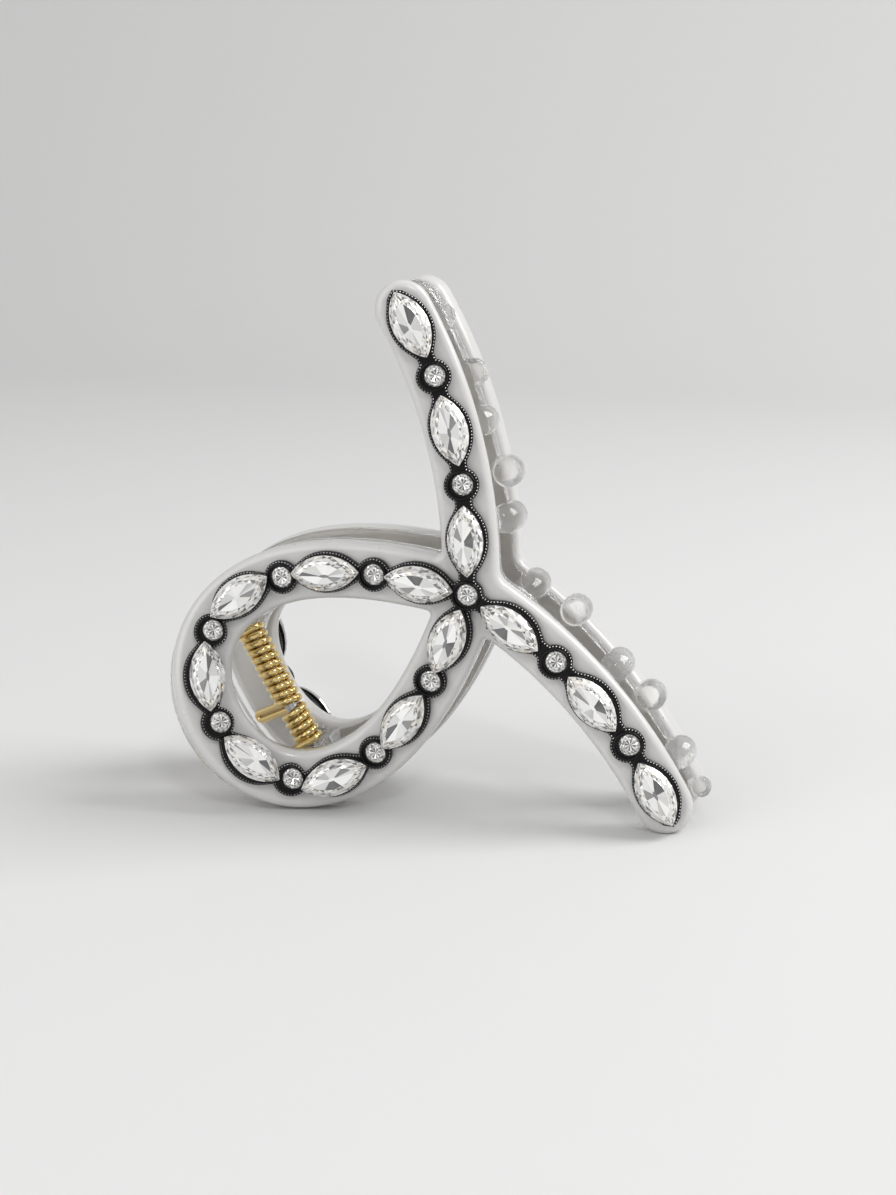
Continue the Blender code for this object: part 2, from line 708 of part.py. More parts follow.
def stand_on_table(stand, things, group):
    """Lean the claw until its loop and its lower tips are level, centred on the frame's origin."""
    points = [vertex.co for thing in things for vertex in thing.data.vertices]
    loop = [p for p in points if p.x < HINGE_TO_CROSSING]
    arms = [p for p in points if p.x > HINGE_TO_CROSSING]

    def lowest(part, lean):
        return min(p.x * math.sin(lean) + p.z * math.cos(lean) for p in part)

    lean = find_root(lambda angle: lowest(loop, angle) - lowest(arms, angle), *LEAN_SEARCH)
    stand.rotation_euler = (0.0, -lean, 0.0)
    bpy.context.view_layer.update()
    graph = bpy.context.evaluated_depsgraph_get()
    reach = []
    for thing in group.objects:
        if thing.type == "MESH":
            made = thing.evaluated_get(graph)
            reach += [(made.matrix_world @ vertex.co).x for vertex in made.data.vertices]
    middle = (min(reach) + max(reach)) / 2
    stand.location = (-middle, 0.0, -lowest(points, lean) - FOOT_FLAT_DEPTH)
    return lean


def add_table_cutter(tools):
    """Add the block below the table, which cuts the flats."""
    size = 4 * LOOP_LENGTH
    mesh = bpy.data.meshes.new("table")
    work = bmesh.new()
    bmesh.ops.create_cube(work, size=size)
    bmesh.ops.translate(work, verts=work.verts, vec=(0.0, 0.0, -size / 2))
    work.to_mesh(mesh)
    work.free()
    return add_tool("table", mesh, tools)


def main():
    """Build the claw."""
    clear_scene()
    group = new_collection("rhinestone_hair_claw")
    tools = new_collection("cutters")
    materials = {
        "cover": new_material("pale_resin", (0.80, 0.79, 0.78), 0.28),
        "clear": new_material("clear_plastic", (0.74, 0.75, 0.75), 0.12),
        "setting": new_material("black_enamel", (0.012, 0.012, 0.013), 0.22),
        "crystal": new_material("crystal", (0.86, 0.87, 0.88), 0.03),
        "spring": new_material("brass_wire", (0.72, 0.50, 0.18), 0.25, 1.0),
        "pin": new_material("steel_pin", (0.55, 0.54, 0.52), 0.3, 1.0),
    }
    stand = new_pivot("stand", group)
    spring_half = spring_line()[0].z + WIRE_DIAMETER / 2
    inner_lug = spring_half + LUG_CLEARANCE + LUG_THICKNESS / 2
    outer_lug = inner_lug + LUG_THICKNESS + LUG_CLEARANCE
    front_teeth = (FRONT_UPPER_TEETH, FRONT_LOWER_TEETH)
    back_teeth = (BACK_LOWER_TEETH, BACK_UPPER_TEETH)
    front, front_frame, front_cover = add_jaw(
        "front", front_teeth, outer_lug, materials, group, tools, stand
    )
    back, back_frame, back_cover = add_jaw("back", back_teeth, inner_lug, materials, group, tools, stand)
    back.rotation_euler = (math.pi, 0.0, 0.0)
    add_pin(outer_lug + LUG_THICKNESS / 2 + LUG_CLEARANCE, materials["pin"], group, front)
    add_spring(materials["spring"], group, front)
    lean = stand_on_table(stand, (front_frame, front_cover), group)
    table = add_table_cutter(tools)
    for thing in (front_frame, back_frame, front_cover, back_cover):
        combine(thing, table, "DIFFERENCE")
    bpy.context.view_layer.update()
    axis = stand.matrix_world.to_3x3() @ Vector((0.0, 0.0, 1.0))
    place = stand.matrix_world.translation
    print("hinge at", [round(v, 6) for v in place], "along", [round(v, 6) for v in axis])
    print(f"lean {math.degrees(lean):.3f} degrees")


main()
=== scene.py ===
"""Looks of a crystal-set hair claw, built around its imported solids.

The flat lines of the ribbon, its bend along the jaw, the places of the crystals and the line of the
spring follow the same sizes as the solids, so every piece lies where its solid is. Units are metres.
"""

import json
import logging
import math
import random
from dataclasses import dataclass, replace
from enum import Enum
from typing import Callable, Sequence

import bmesh
import bpy
from mathutils import Matrix, Vector


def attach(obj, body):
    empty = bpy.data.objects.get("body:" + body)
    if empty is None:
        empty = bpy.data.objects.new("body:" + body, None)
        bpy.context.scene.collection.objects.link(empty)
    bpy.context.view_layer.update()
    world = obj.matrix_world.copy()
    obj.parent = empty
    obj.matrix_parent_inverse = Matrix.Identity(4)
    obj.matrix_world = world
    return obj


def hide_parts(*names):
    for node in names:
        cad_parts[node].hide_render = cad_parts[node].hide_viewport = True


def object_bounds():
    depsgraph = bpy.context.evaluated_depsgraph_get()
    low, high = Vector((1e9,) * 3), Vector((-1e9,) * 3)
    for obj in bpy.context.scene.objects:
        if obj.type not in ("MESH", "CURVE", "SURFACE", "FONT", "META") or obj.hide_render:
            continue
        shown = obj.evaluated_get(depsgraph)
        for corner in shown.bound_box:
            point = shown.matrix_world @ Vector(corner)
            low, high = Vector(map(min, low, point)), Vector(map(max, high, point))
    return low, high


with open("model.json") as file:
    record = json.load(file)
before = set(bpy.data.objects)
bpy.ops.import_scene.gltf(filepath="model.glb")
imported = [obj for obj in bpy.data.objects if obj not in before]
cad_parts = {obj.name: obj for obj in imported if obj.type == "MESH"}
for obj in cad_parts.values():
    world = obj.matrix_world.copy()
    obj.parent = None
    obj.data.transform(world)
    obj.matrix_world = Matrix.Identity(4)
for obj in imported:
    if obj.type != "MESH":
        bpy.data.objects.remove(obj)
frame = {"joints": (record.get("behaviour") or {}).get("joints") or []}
CAD_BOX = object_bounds()

MM = 0.001
# Points closer than this are one.
MERGE = 0.002 * MM
# Turn between two faces, in radians, past which their edge counts as a rim.
RIM_ANGLE = 1.0
PIN_RADIUS = 0.9 * MM
# Names of the values that each facet of a crystal carries: the tone and the warm tint of the reflection
# painted on it.
REFLECTION_TONE = "tone"
REFLECTION_WARMTH = "warmth"
# Places of a Mix node's two colour inputs and of its colour output.
MIX_FIRST = 6
MIX_SECOND = 7
MIX_RESULT = 2

LOG = logging.getLogger("hair_claw")
Rgb = tuple[float, float, float]
Shares = tuple[tuple[float, float, float], ...]
Feed = bpy.types.NodeSocket | float | Rgb


class Side(Enum):
    """The two jaws."""

    FRONT = "front"
    BACK = "back"

    @property
    def body(self) -> str:
        """Name of the rigid body that the jaw's pieces ride on."""
        return f"{self.value}_jaw"

    def node(self, own_name: str) -> str:
        """Name a solid in full.

        The back jaw is turned over, so its own upper side is the lower one.

        Args:
            own_name: The solid's name without its jaw.

        Returns:
            The name with the jaw.
        """
        first, _, rest = own_name.partition("_")
        if self is Side.BACK:
            first = {"upper": "lower", "lower": "upper"}.get(first, first)
        return "_".join(part for part in (self.value, first, rest) if part)


class Cut(Enum):
    """The two shapes of crystal."""

    NAVETTE = "navette"
    CHATON = "chaton"


def spread(low: float, high: float, steps: int) -> list[float]:
    """Return evenly spaced values from low to high, both included."""
    return [low + (high - low) * i / steps for i in range(steps + 1)]


def find_root(function: Callable[[float], float], low: float, high: float, halvings: int = 60) -> float:
    """Return where a function that falls or rises through zero does so.

    Args:
        function: The function.
        low: Lower end of the search.
        high: Upper end of the search.
        halvings: How often the search is halved.

    Returns:
        The value at which the function is zero.
    """
    rising = function(high) > function(low)
    for _ in range(halvings):
        middle = (low + high) / 2
        if (function(middle) > 0) == rising:
            high = middle
        else:
            low = middle
    return (low + high) / 2


def mirrored(half: Sequence[Vector]) -> list[Vector]:
    """Close an outline whose first and last points lie on the jaw's middle line."""
    return list(half) + [Vector((p.x, -p.y)) for p in reversed(half[1:-1])]


def lens_half_width(x: float, half_length: float, half_width: float) -> float:
    """Return the half width of a pointed oval at a distance x from its middle."""
    arc = (half_length**2 + half_width**2) / (2 * half_width)
    return math.sqrt(max(arc**2 - x**2, 0.0)) - (arc - half_width)


def lens_outline(half_length: float, half_width: float, steps: int) -> list[Vector]:
    """Return a pointed oval with its long side along x.

    Args:
        half_length: Half of the long side.
        half_width: Half of the short side.
        steps: Steps along each of its two arcs.

    Returns:
        Points in order round the oval.
    """
    turns = spread(math.pi, 0.0, steps)
    xs = [half_length * math.cos(turn) for turn in turns]
    return mirrored([Vector((x, lens_half_width(x, half_length, half_width))) for x in xs])


def round_outline(radius: float, steps: int) -> list[Vector]:
    """Return a circle's points, with a point half a step off the x axis."""
    turns = [2 * math.pi * (i + 0.5) / steps for i in range(steps)]
    return [Vector((math.cos(turn), math.sin(turn))) * radius for turn in turns]


@dataclass(frozen=True)
class Seat:
    """Where one crystal sits on the flat ribbon.

    Attributes:
        name: The solid's name without its jaw.
        along: Place along the jaw.
        across: Place across the jaw.
        turn: Turn of the crystal's long side in the flat.
        cut: Shape of the crystal.
    """

    name: str
    along: float
    across: float
    turn: float
    cut: Cut


@dataclass(frozen=True)
class Ribbon:
    """Flat lines of the ribbon and its bend along the jaw's side profile.

    In the flat, x runs along the jaw from the crossing towards the tips, and y across it. The arms curve
    apart from the crossing, and the teardrop loop closes at the handle end.
    """

    loop_length: float = 40.7 * MM
    loop_width: float = 28.9 * MM
    arm_length: float = 40.2 * MM
    arm_bend_radius: float = 71.0 * MM
    arm_heading_start: float = math.radians(31.5)
    band_width: float = 8.1 * MM
    half_depth: float = 9.0 * MM
    flare_start: float = 22.0 * MM
    flare_radius: float = 36.0 * MM
    claw_start: float = 2.0 * MM
    claw_radius: float = 40.0 * MM
    hinge_to_crossing: float = 34.4 * MM
    arm_stone_pitch: float = 7.55 * MM
    arm_stones: int = 5
    loop_stones: int = 8
    arm_steps: int = 26
    cap_steps: int = 20
    loop_steps: int = 44
    length_steps: int = 1500
    bend_step: float = 1.1 * MM
    corner_search: tuple[float, float] = (0.05, 0.9)

    @property
    def band_half(self) -> float:
        """Half of the band's width."""
        return self.band_width / 2

    @property
    def loop_swell(self) -> float:
        """Sideways size that gives the teardrop its width."""
        return self.loop_width / 2 * 3 * math.sqrt(3) / 4

    @property
    def arm_centre(self) -> Vector:
        """Centre of the arc that the upper arm's centre line follows."""
        turn = self.arm_heading_start
        return Vector((-math.cos(turn), math.sin(turn))) * self.arm_bend_radius

    def loop_point(self, turn: float) -> Vector:
        """Return a point of the teardrop's centre line, from the crossing at 0 to the handle at pi/2."""
        swell = 2 * self.loop_swell * math.sin(turn) ** 2 * math.cos(turn)
        return Vector((-self.loop_length * math.sin(turn) ** 2, swell))

    def loop_heading(self, turn: float) -> Vector:
        """Return the direction of the teardrop's centre line, away from the crossing."""
        sine, cosine = math.sin(turn), math.cos(turn)
        across = 2 * self.loop_swell * (2 * cosine**2 - sine**2)
        return Vector((-2 * self.loop_length * cosine, across)).normalized()

    def loop_edge(self, turn: float, offset: float) -> Vector:
        """Return a point beside the teardrop's centre line, outside it where offset is positive."""
        heading = self.loop_heading(turn)
        return self.loop_point(turn) + Vector((heading.y, -heading.x)) * offset

    def loop_turns_at(self, distances: Sequence[float]) -> tuple[list[float], float]:
        """Find places along the teardrop by their distance from the crossing.

        Args:
            distances: The distances.

        Returns:
            The turns at the distances, and the whole length from the crossing to the handle end.
        """
        turns = spread(0.0, math.pi / 2, self.length_steps)
        points = [self.loop_point(turn) for turn in turns]
        lengths = [0.0]
        for a, b in zip(points, points[1:]):
            lengths.append(lengths[-1] + (b - a).length)
        found = []
        for distance in distances:
            index = 0
            while index < self.length_steps - 1 and lengths[index + 1] < distance:
                index += 1
            share = (distance - lengths[index]) / (lengths[index + 1] - lengths[index])
            found.append(turns[index] + (turns[index + 1] - turns[index]) * min(share, 1.0))
        return found, lengths[-1]

    def arm_heading(self, distance: float) -> Vector:
        """Return the direction of the upper arm's centre line at a distance from the crossing."""
        angle = self.arm_heading_start - distance / self.arm_bend_radius
        return Vector((math.sin(angle), math.cos(angle)))

    def arm_edge(self, distance: float, offset: float) -> Vector:
        """Return a point beside the arm's centre line, on its toothed side where offset is positive."""
        heading = self.arm_heading(distance)
        toothed = Vector((heading.y, -heading.x))
        return self.arm_centre + toothed * (self.arm_bend_radius + offset)

    def profile(self, along: float) -> tuple[float, float, float]:
        """Follow the jaw's side profile.

        Args:
            along: Flat length along the jaw from the crossing.

        Returns:
            The place along the jaw, the distance from the mid-plane and the lean of the cover's face.
        """
        if along > self.claw_start:
            lean = (along - self.claw_start) / self.claw_radius
            drop = self.claw_radius * (1 - math.cos(lean))
            return self.claw_start + self.claw_radius * math.sin(lean), self.half_depth - drop, lean
        if along < -self.flare_start:
            lean = (-self.flare_start - along) / self.flare_radius
            rise = self.flare_radius * (1 - math.cos(lean))
            return -self.flare_start - self.flare_radius * math.sin(lean), self.half_depth + rise, lean
        return along, self.half_depth, 0.0

    def bent(self, along: float, across: float, height: float) -> Vector:
        """Bend one flat point.

        Args:
            along: Its flat length along the jaw.
            across: Its place across the jaw.
            height: Its height over the cover's face.

        Returns:
            Its place in the jaw's frame.
        """
        place, out, lean = self.profile(along)
        place += height * math.sin(lean)
        out += height * math.cos(lean)
        return Vector((place + self.hinge_to_crossing, -out, across))

    def seat_matrix(self, along: float, across: float, height: float, turn: float) -> Matrix:
        """Seat a flat piece on the bent jaw.

        Args:
            along: Flat length along the jaw.
            across: Place across the jaw.
            height: Height over the cover's face.
            turn: Turn of the piece in the flat.

        Returns:
            The matrix from the piece's own frame to the jaw's.
        """
        _, _, lean = self.profile(along)
        tangent = Vector((math.cos(lean), math.sin(lean), 0.0))
        normal = Vector((math.sin(lean), -math.cos(lean), 0.0))
        axes = Matrix((tangent, Vector((0.0, 0.0, 1.0)), normal)).transposed().to_4x4()
        return Matrix.Translation(self.bent(along, across, height)) @ axes @ Matrix.Rotation(turn, 4, "Z")

    def inner_face(self, place: float, frame_bottom: float) -> float:
        """Return how far from the mid-plane the frame's inner face is, along the flared handle."""
        reach = self.flare_radius - frame_bottom
        return self.half_depth + self.flare_radius - math.sqrt(reach**2 - (place + self.flare_start) ** 2)

    def seats(self) -> list[Seat]:
        """Return where every crystal of one jaw sits."""
        _, total = self.loop_turns_at([])
        pitch = total / self.loop_stones
        turns, _ = self.loop_turns_at([pitch * k for k in range(1, self.loop_stones + 1)])
        seats = [Seat("crossing_chaton", 0.0, 0.0, 0.0, Cut.CHATON)]
        seats.append(Seat("handle_chaton", -self.loop_length, 0.0, 0.0, Cut.CHATON))
        for side, sign in (("upper", 1), ("lower", -1)):
            for station in range(1, self.arm_stones + 1):
                distance = station * self.arm_stone_pitch
                place, heading = self.arm_edge(distance, 0.0), self.arm_heading(distance)
                seats.append(self.seat(f"{side}_arm", station, sign, place, heading))
            for station in range(1, self.loop_stones):
                turn = turns[station - 1]
                place, heading = self.loop_point(turn), self.loop_heading(turn)
                seats.append(self.seat(f"{side}_loop", station, sign, place, heading))
        return seats

    @staticmethod
    def seat(branch: str, station: int, sign: int, place: Vector, heading: Vector) -> Seat:
        """Return the seat at a station of a branch.

        Args:
            branch: Name of the branch.
            station: Number of the crystal on it, from 1.
            sign: 1 on the upper side, -1 on the lower side.
            place: Its place on the upper side.
            heading: Direction of the branch there.

        Returns:
            The seat.
        """
        cut = Cut.NAVETTE if station % 2 else Cut.CHATON
        name = f"{branch}_{cut.value}_{(station + 1) // 2}"
        return Seat(name, place.x, place.y * sign, math.atan2(heading.y * sign, heading.x), cut)

    def band_lines(self, half_width: float) -> tuple[list[Vector], list[Vector], int, int]:
        """Return the band's edges at a half width.

        Args:
            half_width: Distance of the edges from the centre lines.

        Returns:
            The upper half of the outer edge from the front notch to the handle end, the upper half of
            the hole's edge from its corner to the handle end, and the indices in the first of its side
            notch and of a point half way round the loop.
        """
        outer_radius = self.arm_bend_radius + half_width
        inner_radius = self.arm_bend_radius - half_width
        start = math.asin(self.arm_bend_radius * math.sin(self.arm_heading_start) / outer_radius)
        front_notch = self.arm_bend_radius * (self.arm_heading_start - start)
        side_turn = find_root(
            lambda turn: (self.loop_edge(turn, half_width) - self.arm_centre).length - inner_radius,
            *self.corner_search,
        )
        side = self.loop_edge(side_turn, half_width) - self.arm_centre
        side_notch = self.arm_bend_radius * (self.arm_heading_start + math.atan2(side.y, side.x))
        outward = spread(front_notch, self.arm_length, self.arm_steps)
        outer = [self.arm_edge(distance, half_width) for distance in outward]
        tip, heading = self.arm_edge(self.arm_length, 0.0), self.arm_heading(self.arm_length)
        toothed = Vector((heading.y, -heading.x))
        for angle in spread(0.0, math.pi, self.cap_steps)[1:-1]:
            outer.append(tip + (toothed * math.cos(angle) + heading * math.sin(angle)) * half_width)
        homeward = spread(self.arm_length, side_notch, self.arm_steps)[:-1]
        outer += [self.arm_edge(distance, -half_width) for distance in homeward]
        notch_index = len(outer)
        outer_turns = spread(side_turn, math.pi / 2, self.loop_steps)
        outer += [self.loop_edge(turn, half_width) for turn in outer_turns]
        apex = find_root(lambda turn: self.loop_edge(turn, -half_width).y, *self.corner_search)
        hole_turns = spread(apex, math.pi / 2, self.loop_steps)
        hole = [self.loop_edge(turn, -half_width) for turn in hole_turns]
        for end in (outer[0], outer[-1], hole[0], hole[-1]):
            end.y = 0.0
        return outer, hole, notch_index, notch_index + self.loop_steps // 2


@dataclass(frozen=True)
class Layers:
    """Heights of a jaw's layers over the cover's face."""

    cover: float = 3.4 * MM
    frame: float = 2.0 * MM
    frame_inset: float = 0.2 * MM
    gap: float = 0.15 * MM
    strip: float = 1.4 * MM
    seat: float = 0.15 * MM

    @property
    def frame_top(self) -> float:
        """Height of the frame's outer face."""
        return -self.cover - self.gap

    @property
    def frame_bottom(self) -> float:
        """Height of the frame's inner face."""
        return self.frame_top - self.frame

    @property
    def strip_top(self) -> float:
        """Height of the setting strip's face."""
        return self.gap + self.strip


@dataclass(frozen=True)
class StoneSizes:
    """Sizes of the two shapes of crystal."""

    navette_length: float = 9.8 * MM
    navette_width: float = 5.0 * MM
    navette_height: float = 1.7 * MM
    chaton_diameter: float = 3.1 * MM
    chaton_height: float = 1.9 * MM


RIBBON = Ribbon()
LAYERS = Layers()
STONES = StoneSizes()


@dataclass(frozen=True)
class Stand:
    """How the claw stands in the frame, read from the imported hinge."""

    hinge: Vector
    lean: float

    @classmethod
    def from_joint(cls, joint: dict) -> "Stand":
        """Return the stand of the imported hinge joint."""
        axis = Vector(joint["axis"])
        return cls(Vector(joint["pos_m"]), math.atan2(-axis.x, axis.z))

    def matrix(self, side: Side) -> Matrix:
        """Place a jaw.

        Args:
            side: The jaw.

        Returns:
            The matrix from the jaw's own frame to the part's frame.
        """
        base = Matrix.Translation(self.hinge) @ Matrix.Rotation(-self.lean, 4, "Y")
        if side is Side.BACK:
            return base @ Matrix.Rotation(math.pi, 4, "X")
        return base


# Materials


def new_tree(name: str) -> tuple[bpy.types.Material, bpy.types.NodeTree, bpy.types.Node]:
    """Make a material with nodes.

    Args:
        name: Name of the material.

    Returns:
        The material, its tree and its Principled shader.
    """
    material = bpy.data.materials.new(name)
    material.use_nodes = True
    tree = material.node_tree
    return material, tree, tree.nodes["Principled BSDF"]


def feed(tree: bpy.types.NodeTree, socket: bpy.types.NodeSocket, value: Feed) -> None:
    """Link an input to another node's output, or set it to a number or a colour.

    Args:
        tree: The tree that both nodes are in.
        socket: The input.
        value: What goes into it.
    """
    if isinstance(value, bpy.types.NodeSocket):
        tree.links.new(value, socket)
    elif isinstance(value, tuple):
        socket.default_value = (*value, 1.0)
    else:
        socket.default_value = value


def feed_all(tree: bpy.types.NodeTree, node: bpy.types.Node, values: dict[str, Feed]) -> None:
    """Feed several inputs of a node by their names."""
    for name, value in values.items():
        feed(tree, node.inputs[name], value)


def maths(tree: bpy.types.NodeTree, operation: str, *values: Feed) -> bpy.types.NodeSocket:
    """Add a maths node.

    Args:
        tree: The tree that the node goes into.
        operation: Its operation.
        values: What goes into its inputs, in order.

    Returns:
        Its output.
    """
    node = tree.nodes.new("ShaderNodeMath")
    node.operation = operation
    for socket, value in zip(node.inputs, values):
        feed(tree, socket, value)
    return node.outputs[0]


def mixed(
    tree: bpy.types.NodeTree, share: Feed, first: Feed, second: Feed, blend: str = "MIX"
) -> bpy.types.NodeSocket:
    """Add a node that mixes two colours.

    Args:
        tree: The tree that the node goes into.
        share: Share of the second colour.
        first: First colour.
        second: Second colour.
        blend: How the second is laid over the first.

    Returns:
        Its output.
    """
    node = tree.nodes.new("ShaderNodeMix")
    node.data_type = "RGBA"
    node.blend_type = blend
    feed(tree, node.inputs["Factor"], share)
    feed(tree, node.inputs[MIX_FIRST], first)
    feed(tree, node.inputs[MIX_SECOND], second)
    return node.outputs[MIX_RESULT]


def drift_group(detail: float = 6.0, finer: float = 7.0) -> bpy.types.NodeTree:
    """Return the shared group that lets a surface's tone, gloss and height wander a little.

    Args:
        detail: Detail of its fine noise.
        finer: How many times finer that noise is than the broad one.

    Returns:
        A group with inputs Colour, Deep Colour, Scale, Gloss and Gloss Swing, and outputs Colour,
        Roughness and Height.
    """
    group = bpy.data.node_groups.get("surface_drift")
    if group:
        return group
    group = bpy.data.node_groups.new("surface_drift", "ShaderNodeTree")
    sockets = (
        ("INPUT", "NodeSocketColor", ("Colour", "Deep Colour")),
        ("INPUT", "NodeSocketFloat", ("Scale", "Gloss", "Gloss Swing")),
        ("OUTPUT", "NodeSocketColor", ("Colour",)),
        ("OUTPUT", "NodeSocketFloat", ("Roughness", "Height")),
    )
    for way, kind, names in sockets:
        for name in names:
            group.interface.new_socket(name, in_out=way, socket_type=kind)
    source = group.nodes.new("NodeGroupInput")
    sink = group.nodes.new("NodeGroupOutput")
    place = group.nodes.new("ShaderNodeTexCoord")
    broad = group.nodes.new("ShaderNodeTexNoise")
    fine = group.nodes.new("ShaderNodeTexNoise")
    scale = source.outputs["Scale"]
    fine_scale = maths(group, "MULTIPLY", scale, finer)
    feed_all(group, broad, {"Vector": place.outputs["Object"], "Scale": scale})
    feed_all(group, fine, {"Vector": place.outputs["Object"], "Scale": fine_scale, "Detail": detail})
    height = fine.outputs["Fac"]
    tone = mixed(group, broad.outputs["Fac"], source.outputs["Colour"], source.outputs["Deep Colour"])
    gloss = maths(group, "MULTIPLY_ADD", height, source.outputs["Gloss Swing"], source.outputs["Gloss"])
    feed_all(group, sink, {"Colour": tone, "Roughness": gloss, "Height": height})
    return group


@dataclass(frozen=True)
class Finish:
    """A surface whose tone and gloss wander over the piece.

    Attributes:
        name: Name of the material.
        colour: Its main colour.
        deep: The colour it wanders to.
        gloss: Least roughness.
        swing: How far the roughness wanders.
        scale: Scale of the wander, per metre.
        metallic: Share of metal.
        coat: Weight of the clear coat.
        coat_gloss: Roughness of the clear coat.
        transmission: Share of light that goes through.
        ior: Index of refraction.
        relief: Height of the fine relief.
        relief_strength: Strength of the fine relief.
        specular: Level of the bare surface's reflection.
        specks: Share of the places, about 3 mm apart, that hold a dark speck.
        speck_scale: Scale of those places, per metre.
        speck_size: Radius of a speck, as a share of the way between places.
        speck_colour: Colour of a speck.
        alpha: Share of the light that meets the surface at all.
    """

    name: str
    colour: Rgb
    deep: Rgb
    gloss: float
    swing: float
    scale: float
    metallic: float = 0.0
    coat: float = 0.0
    coat_gloss: float = 0.06
    transmission: float = 0.0
    ior: float = 1.5
    relief: float = 0.0
    relief_strength: float = 0.25
    specular: float = 0.5
    specks: float = 0.0
    speck_scale: float = 330.0
    speck_size: float = 0.055
    speck_colour: Rgb = (0.10, 0.095, 0.09)
    alpha: float = 1.0

    def material(self) -> bpy.types.Material:
        """Return the finish as a material, made once."""
        made = bpy.data.materials.get(self.name)
        if made:
            return made
        material, tree, shader = new_tree(self.name)
        drift = tree.nodes.new("ShaderNodeGroup")
        drift.node_tree = drift_group()
        wander = {
            "Colour": self.colour,
            "Deep Colour": self.deep,
            "Scale": self.scale,
            "Gloss": self.gloss,
            "Gloss Swing": self.swing,
        }
        feed_all(tree, drift, wander)
        colour = drift.outputs["Colour"]
        if self.specks > 0:
            colour = self.speckled(tree, colour)
        surface = {
            "Base Color": colour,
            "Roughness": drift.outputs["Roughness"],
            "Metallic": self.metallic,
            "Coat Weight": self.coat,
            "Coat Roughness": self.coat_gloss,
            "Transmission Weight": self.transmission,
            "IOR": self.ior,
            "Specular IOR Level": self.specular,
            "Alpha": self.alpha,
        }
        feed_all(tree, shader, surface)
        if self.relief > 0:
            bump = tree.nodes.new("ShaderNodeBump")
            relief = {
                "Strength": self.relief_strength,
                "Distance": self.relief,
                "Height": drift.outputs["Height"],
            }
            feed_all(tree, bump, relief)
            feed(tree, shader.inputs["Normal"], bump.outputs["Normal"])
        return material

    def speckled(self, tree: bpy.types.NodeTree, colour: bpy.types.NodeSocket) -> bpy.types.NodeSocket:
        """Return a colour with a few tiny dark specks of dirt laid over it.

        Args:
            tree: The material's tree.
            colour: The clean colour.

        Returns:
            The output of the last node.
        """
        place = tree.nodes.new("ShaderNodeTexCoord")
        cells = tree.nodes.new("ShaderNodeTexVoronoi")
        feed_all(tree, cells, {"Vector": place.outputs["Object"], "Scale": self.speck_scale})
        parts = tree.nodes.new("ShaderNodeSeparateColor")
        feed(tree, parts.inputs["Color"], cells.outputs["Color"])
        near = maths(tree, "LESS_THAN", cells.outputs["Distance"], self.speck_size)
        rare = maths(tree, "LESS_THAN", parts.outputs["Red"], self.specks)
        return mixed(tree, maths(tree, "MULTIPLY", near, rare), colour, self.speck_colour)


@dataclass(frozen=True)
class CrystalFinish:
    """Foil-backed crystal, whose facets each carry a painted reflection: a tone from dark to light and a warm
    tint.
    """

    name: str = "foiled_crystal"
    # Colours of the painted reflections, from a facet reflecting dark to one reflecting bright, and their
    # warm tint.
    dark: Rgb = (0.050, 0.052, 0.058)
    middle: Rgb = (0.46, 0.455, 0.45)
    middle_at: float = 0.5
    light: Rgb = (0.95, 0.95, 0.935)
    warm: Rgb = (1.0, 0.90, 0.74)
    gloss: float = 0.06
    metallic: float = 0.3
    coat: float = 1.0
    coat_gloss: float = 0.02

    def material(self) -> bpy.types.Material:
        """Return the finish as a material, made once."""
        made = bpy.data.materials.get(self.name)
        if made:
            return made
        material, tree, shader = new_tree(self.name)
        tone = tree.nodes.new("ShaderNodeAttribute")
        tone.attribute_name = REFLECTION_TONE
        warmth = tree.nodes.new("ShaderNodeAttribute")
        warmth.attribute_name = REFLECTION_WARMTH
        ramp = tree.nodes.new("ShaderNodeValToRGB")
        stops = ramp.color_ramp.elements
        stops[0].color = (*self.dark, 1.0)
        stops[1].color = (*self.light, 1.0)
        stops.new(self.middle_at).color = (*self.middle, 1.0)
        feed(tree, ramp.inputs["Fac"], tone.outputs["Fac"])
        # The base colour is each facet's painted reflection: its tone through the ramp, tinted warm by its
        # warmth.
        surface = {
            "Base Color": mixed(tree, warmth.outputs["Fac"], ramp.outputs["Color"], self.warm, "MULTIPLY"),
            "Roughness": self.gloss,
            "Metallic": self.metallic,
            "Coat Weight": self.coat,
            "Coat Roughness": self.coat_gloss,
        }
        feed_all(tree, shader, surface)
        return material


RESIN = Finish(
    "pale_resin",
    colour=(0.625, 0.618, 0.604),
    deep=(0.59, 0.582, 0.568),
    gloss=0.24,
    swing=0.10,
    scale=90.0,
    coat=0.3,
    relief=0.02 * MM,
    specks=0.12,
)
# A darker, warmer copy of the pale resin for the cover's back faces, turned to the jaw's inside: painted
# shade, tinted warm.
RESIN_BACK_SHADE = Finish(
    "resin_back_painted_shade",
    colour=(0.65, 0.615, 0.57),
    deep=(0.53, 0.50, 0.455),
    gloss=0.45,
    swing=0.16,
    scale=140.0,
    relief=0.03 * MM,
)
ENAMEL = Finish(
    "black_enamel",
    colour=(0.004, 0.004, 0.0045),
    deep=(0.008, 0.0075, 0.008),
    gloss=0.14,
    swing=0.12,
    scale=400.0,
    relief=0.03 * MM,
    specular=0.2,
)
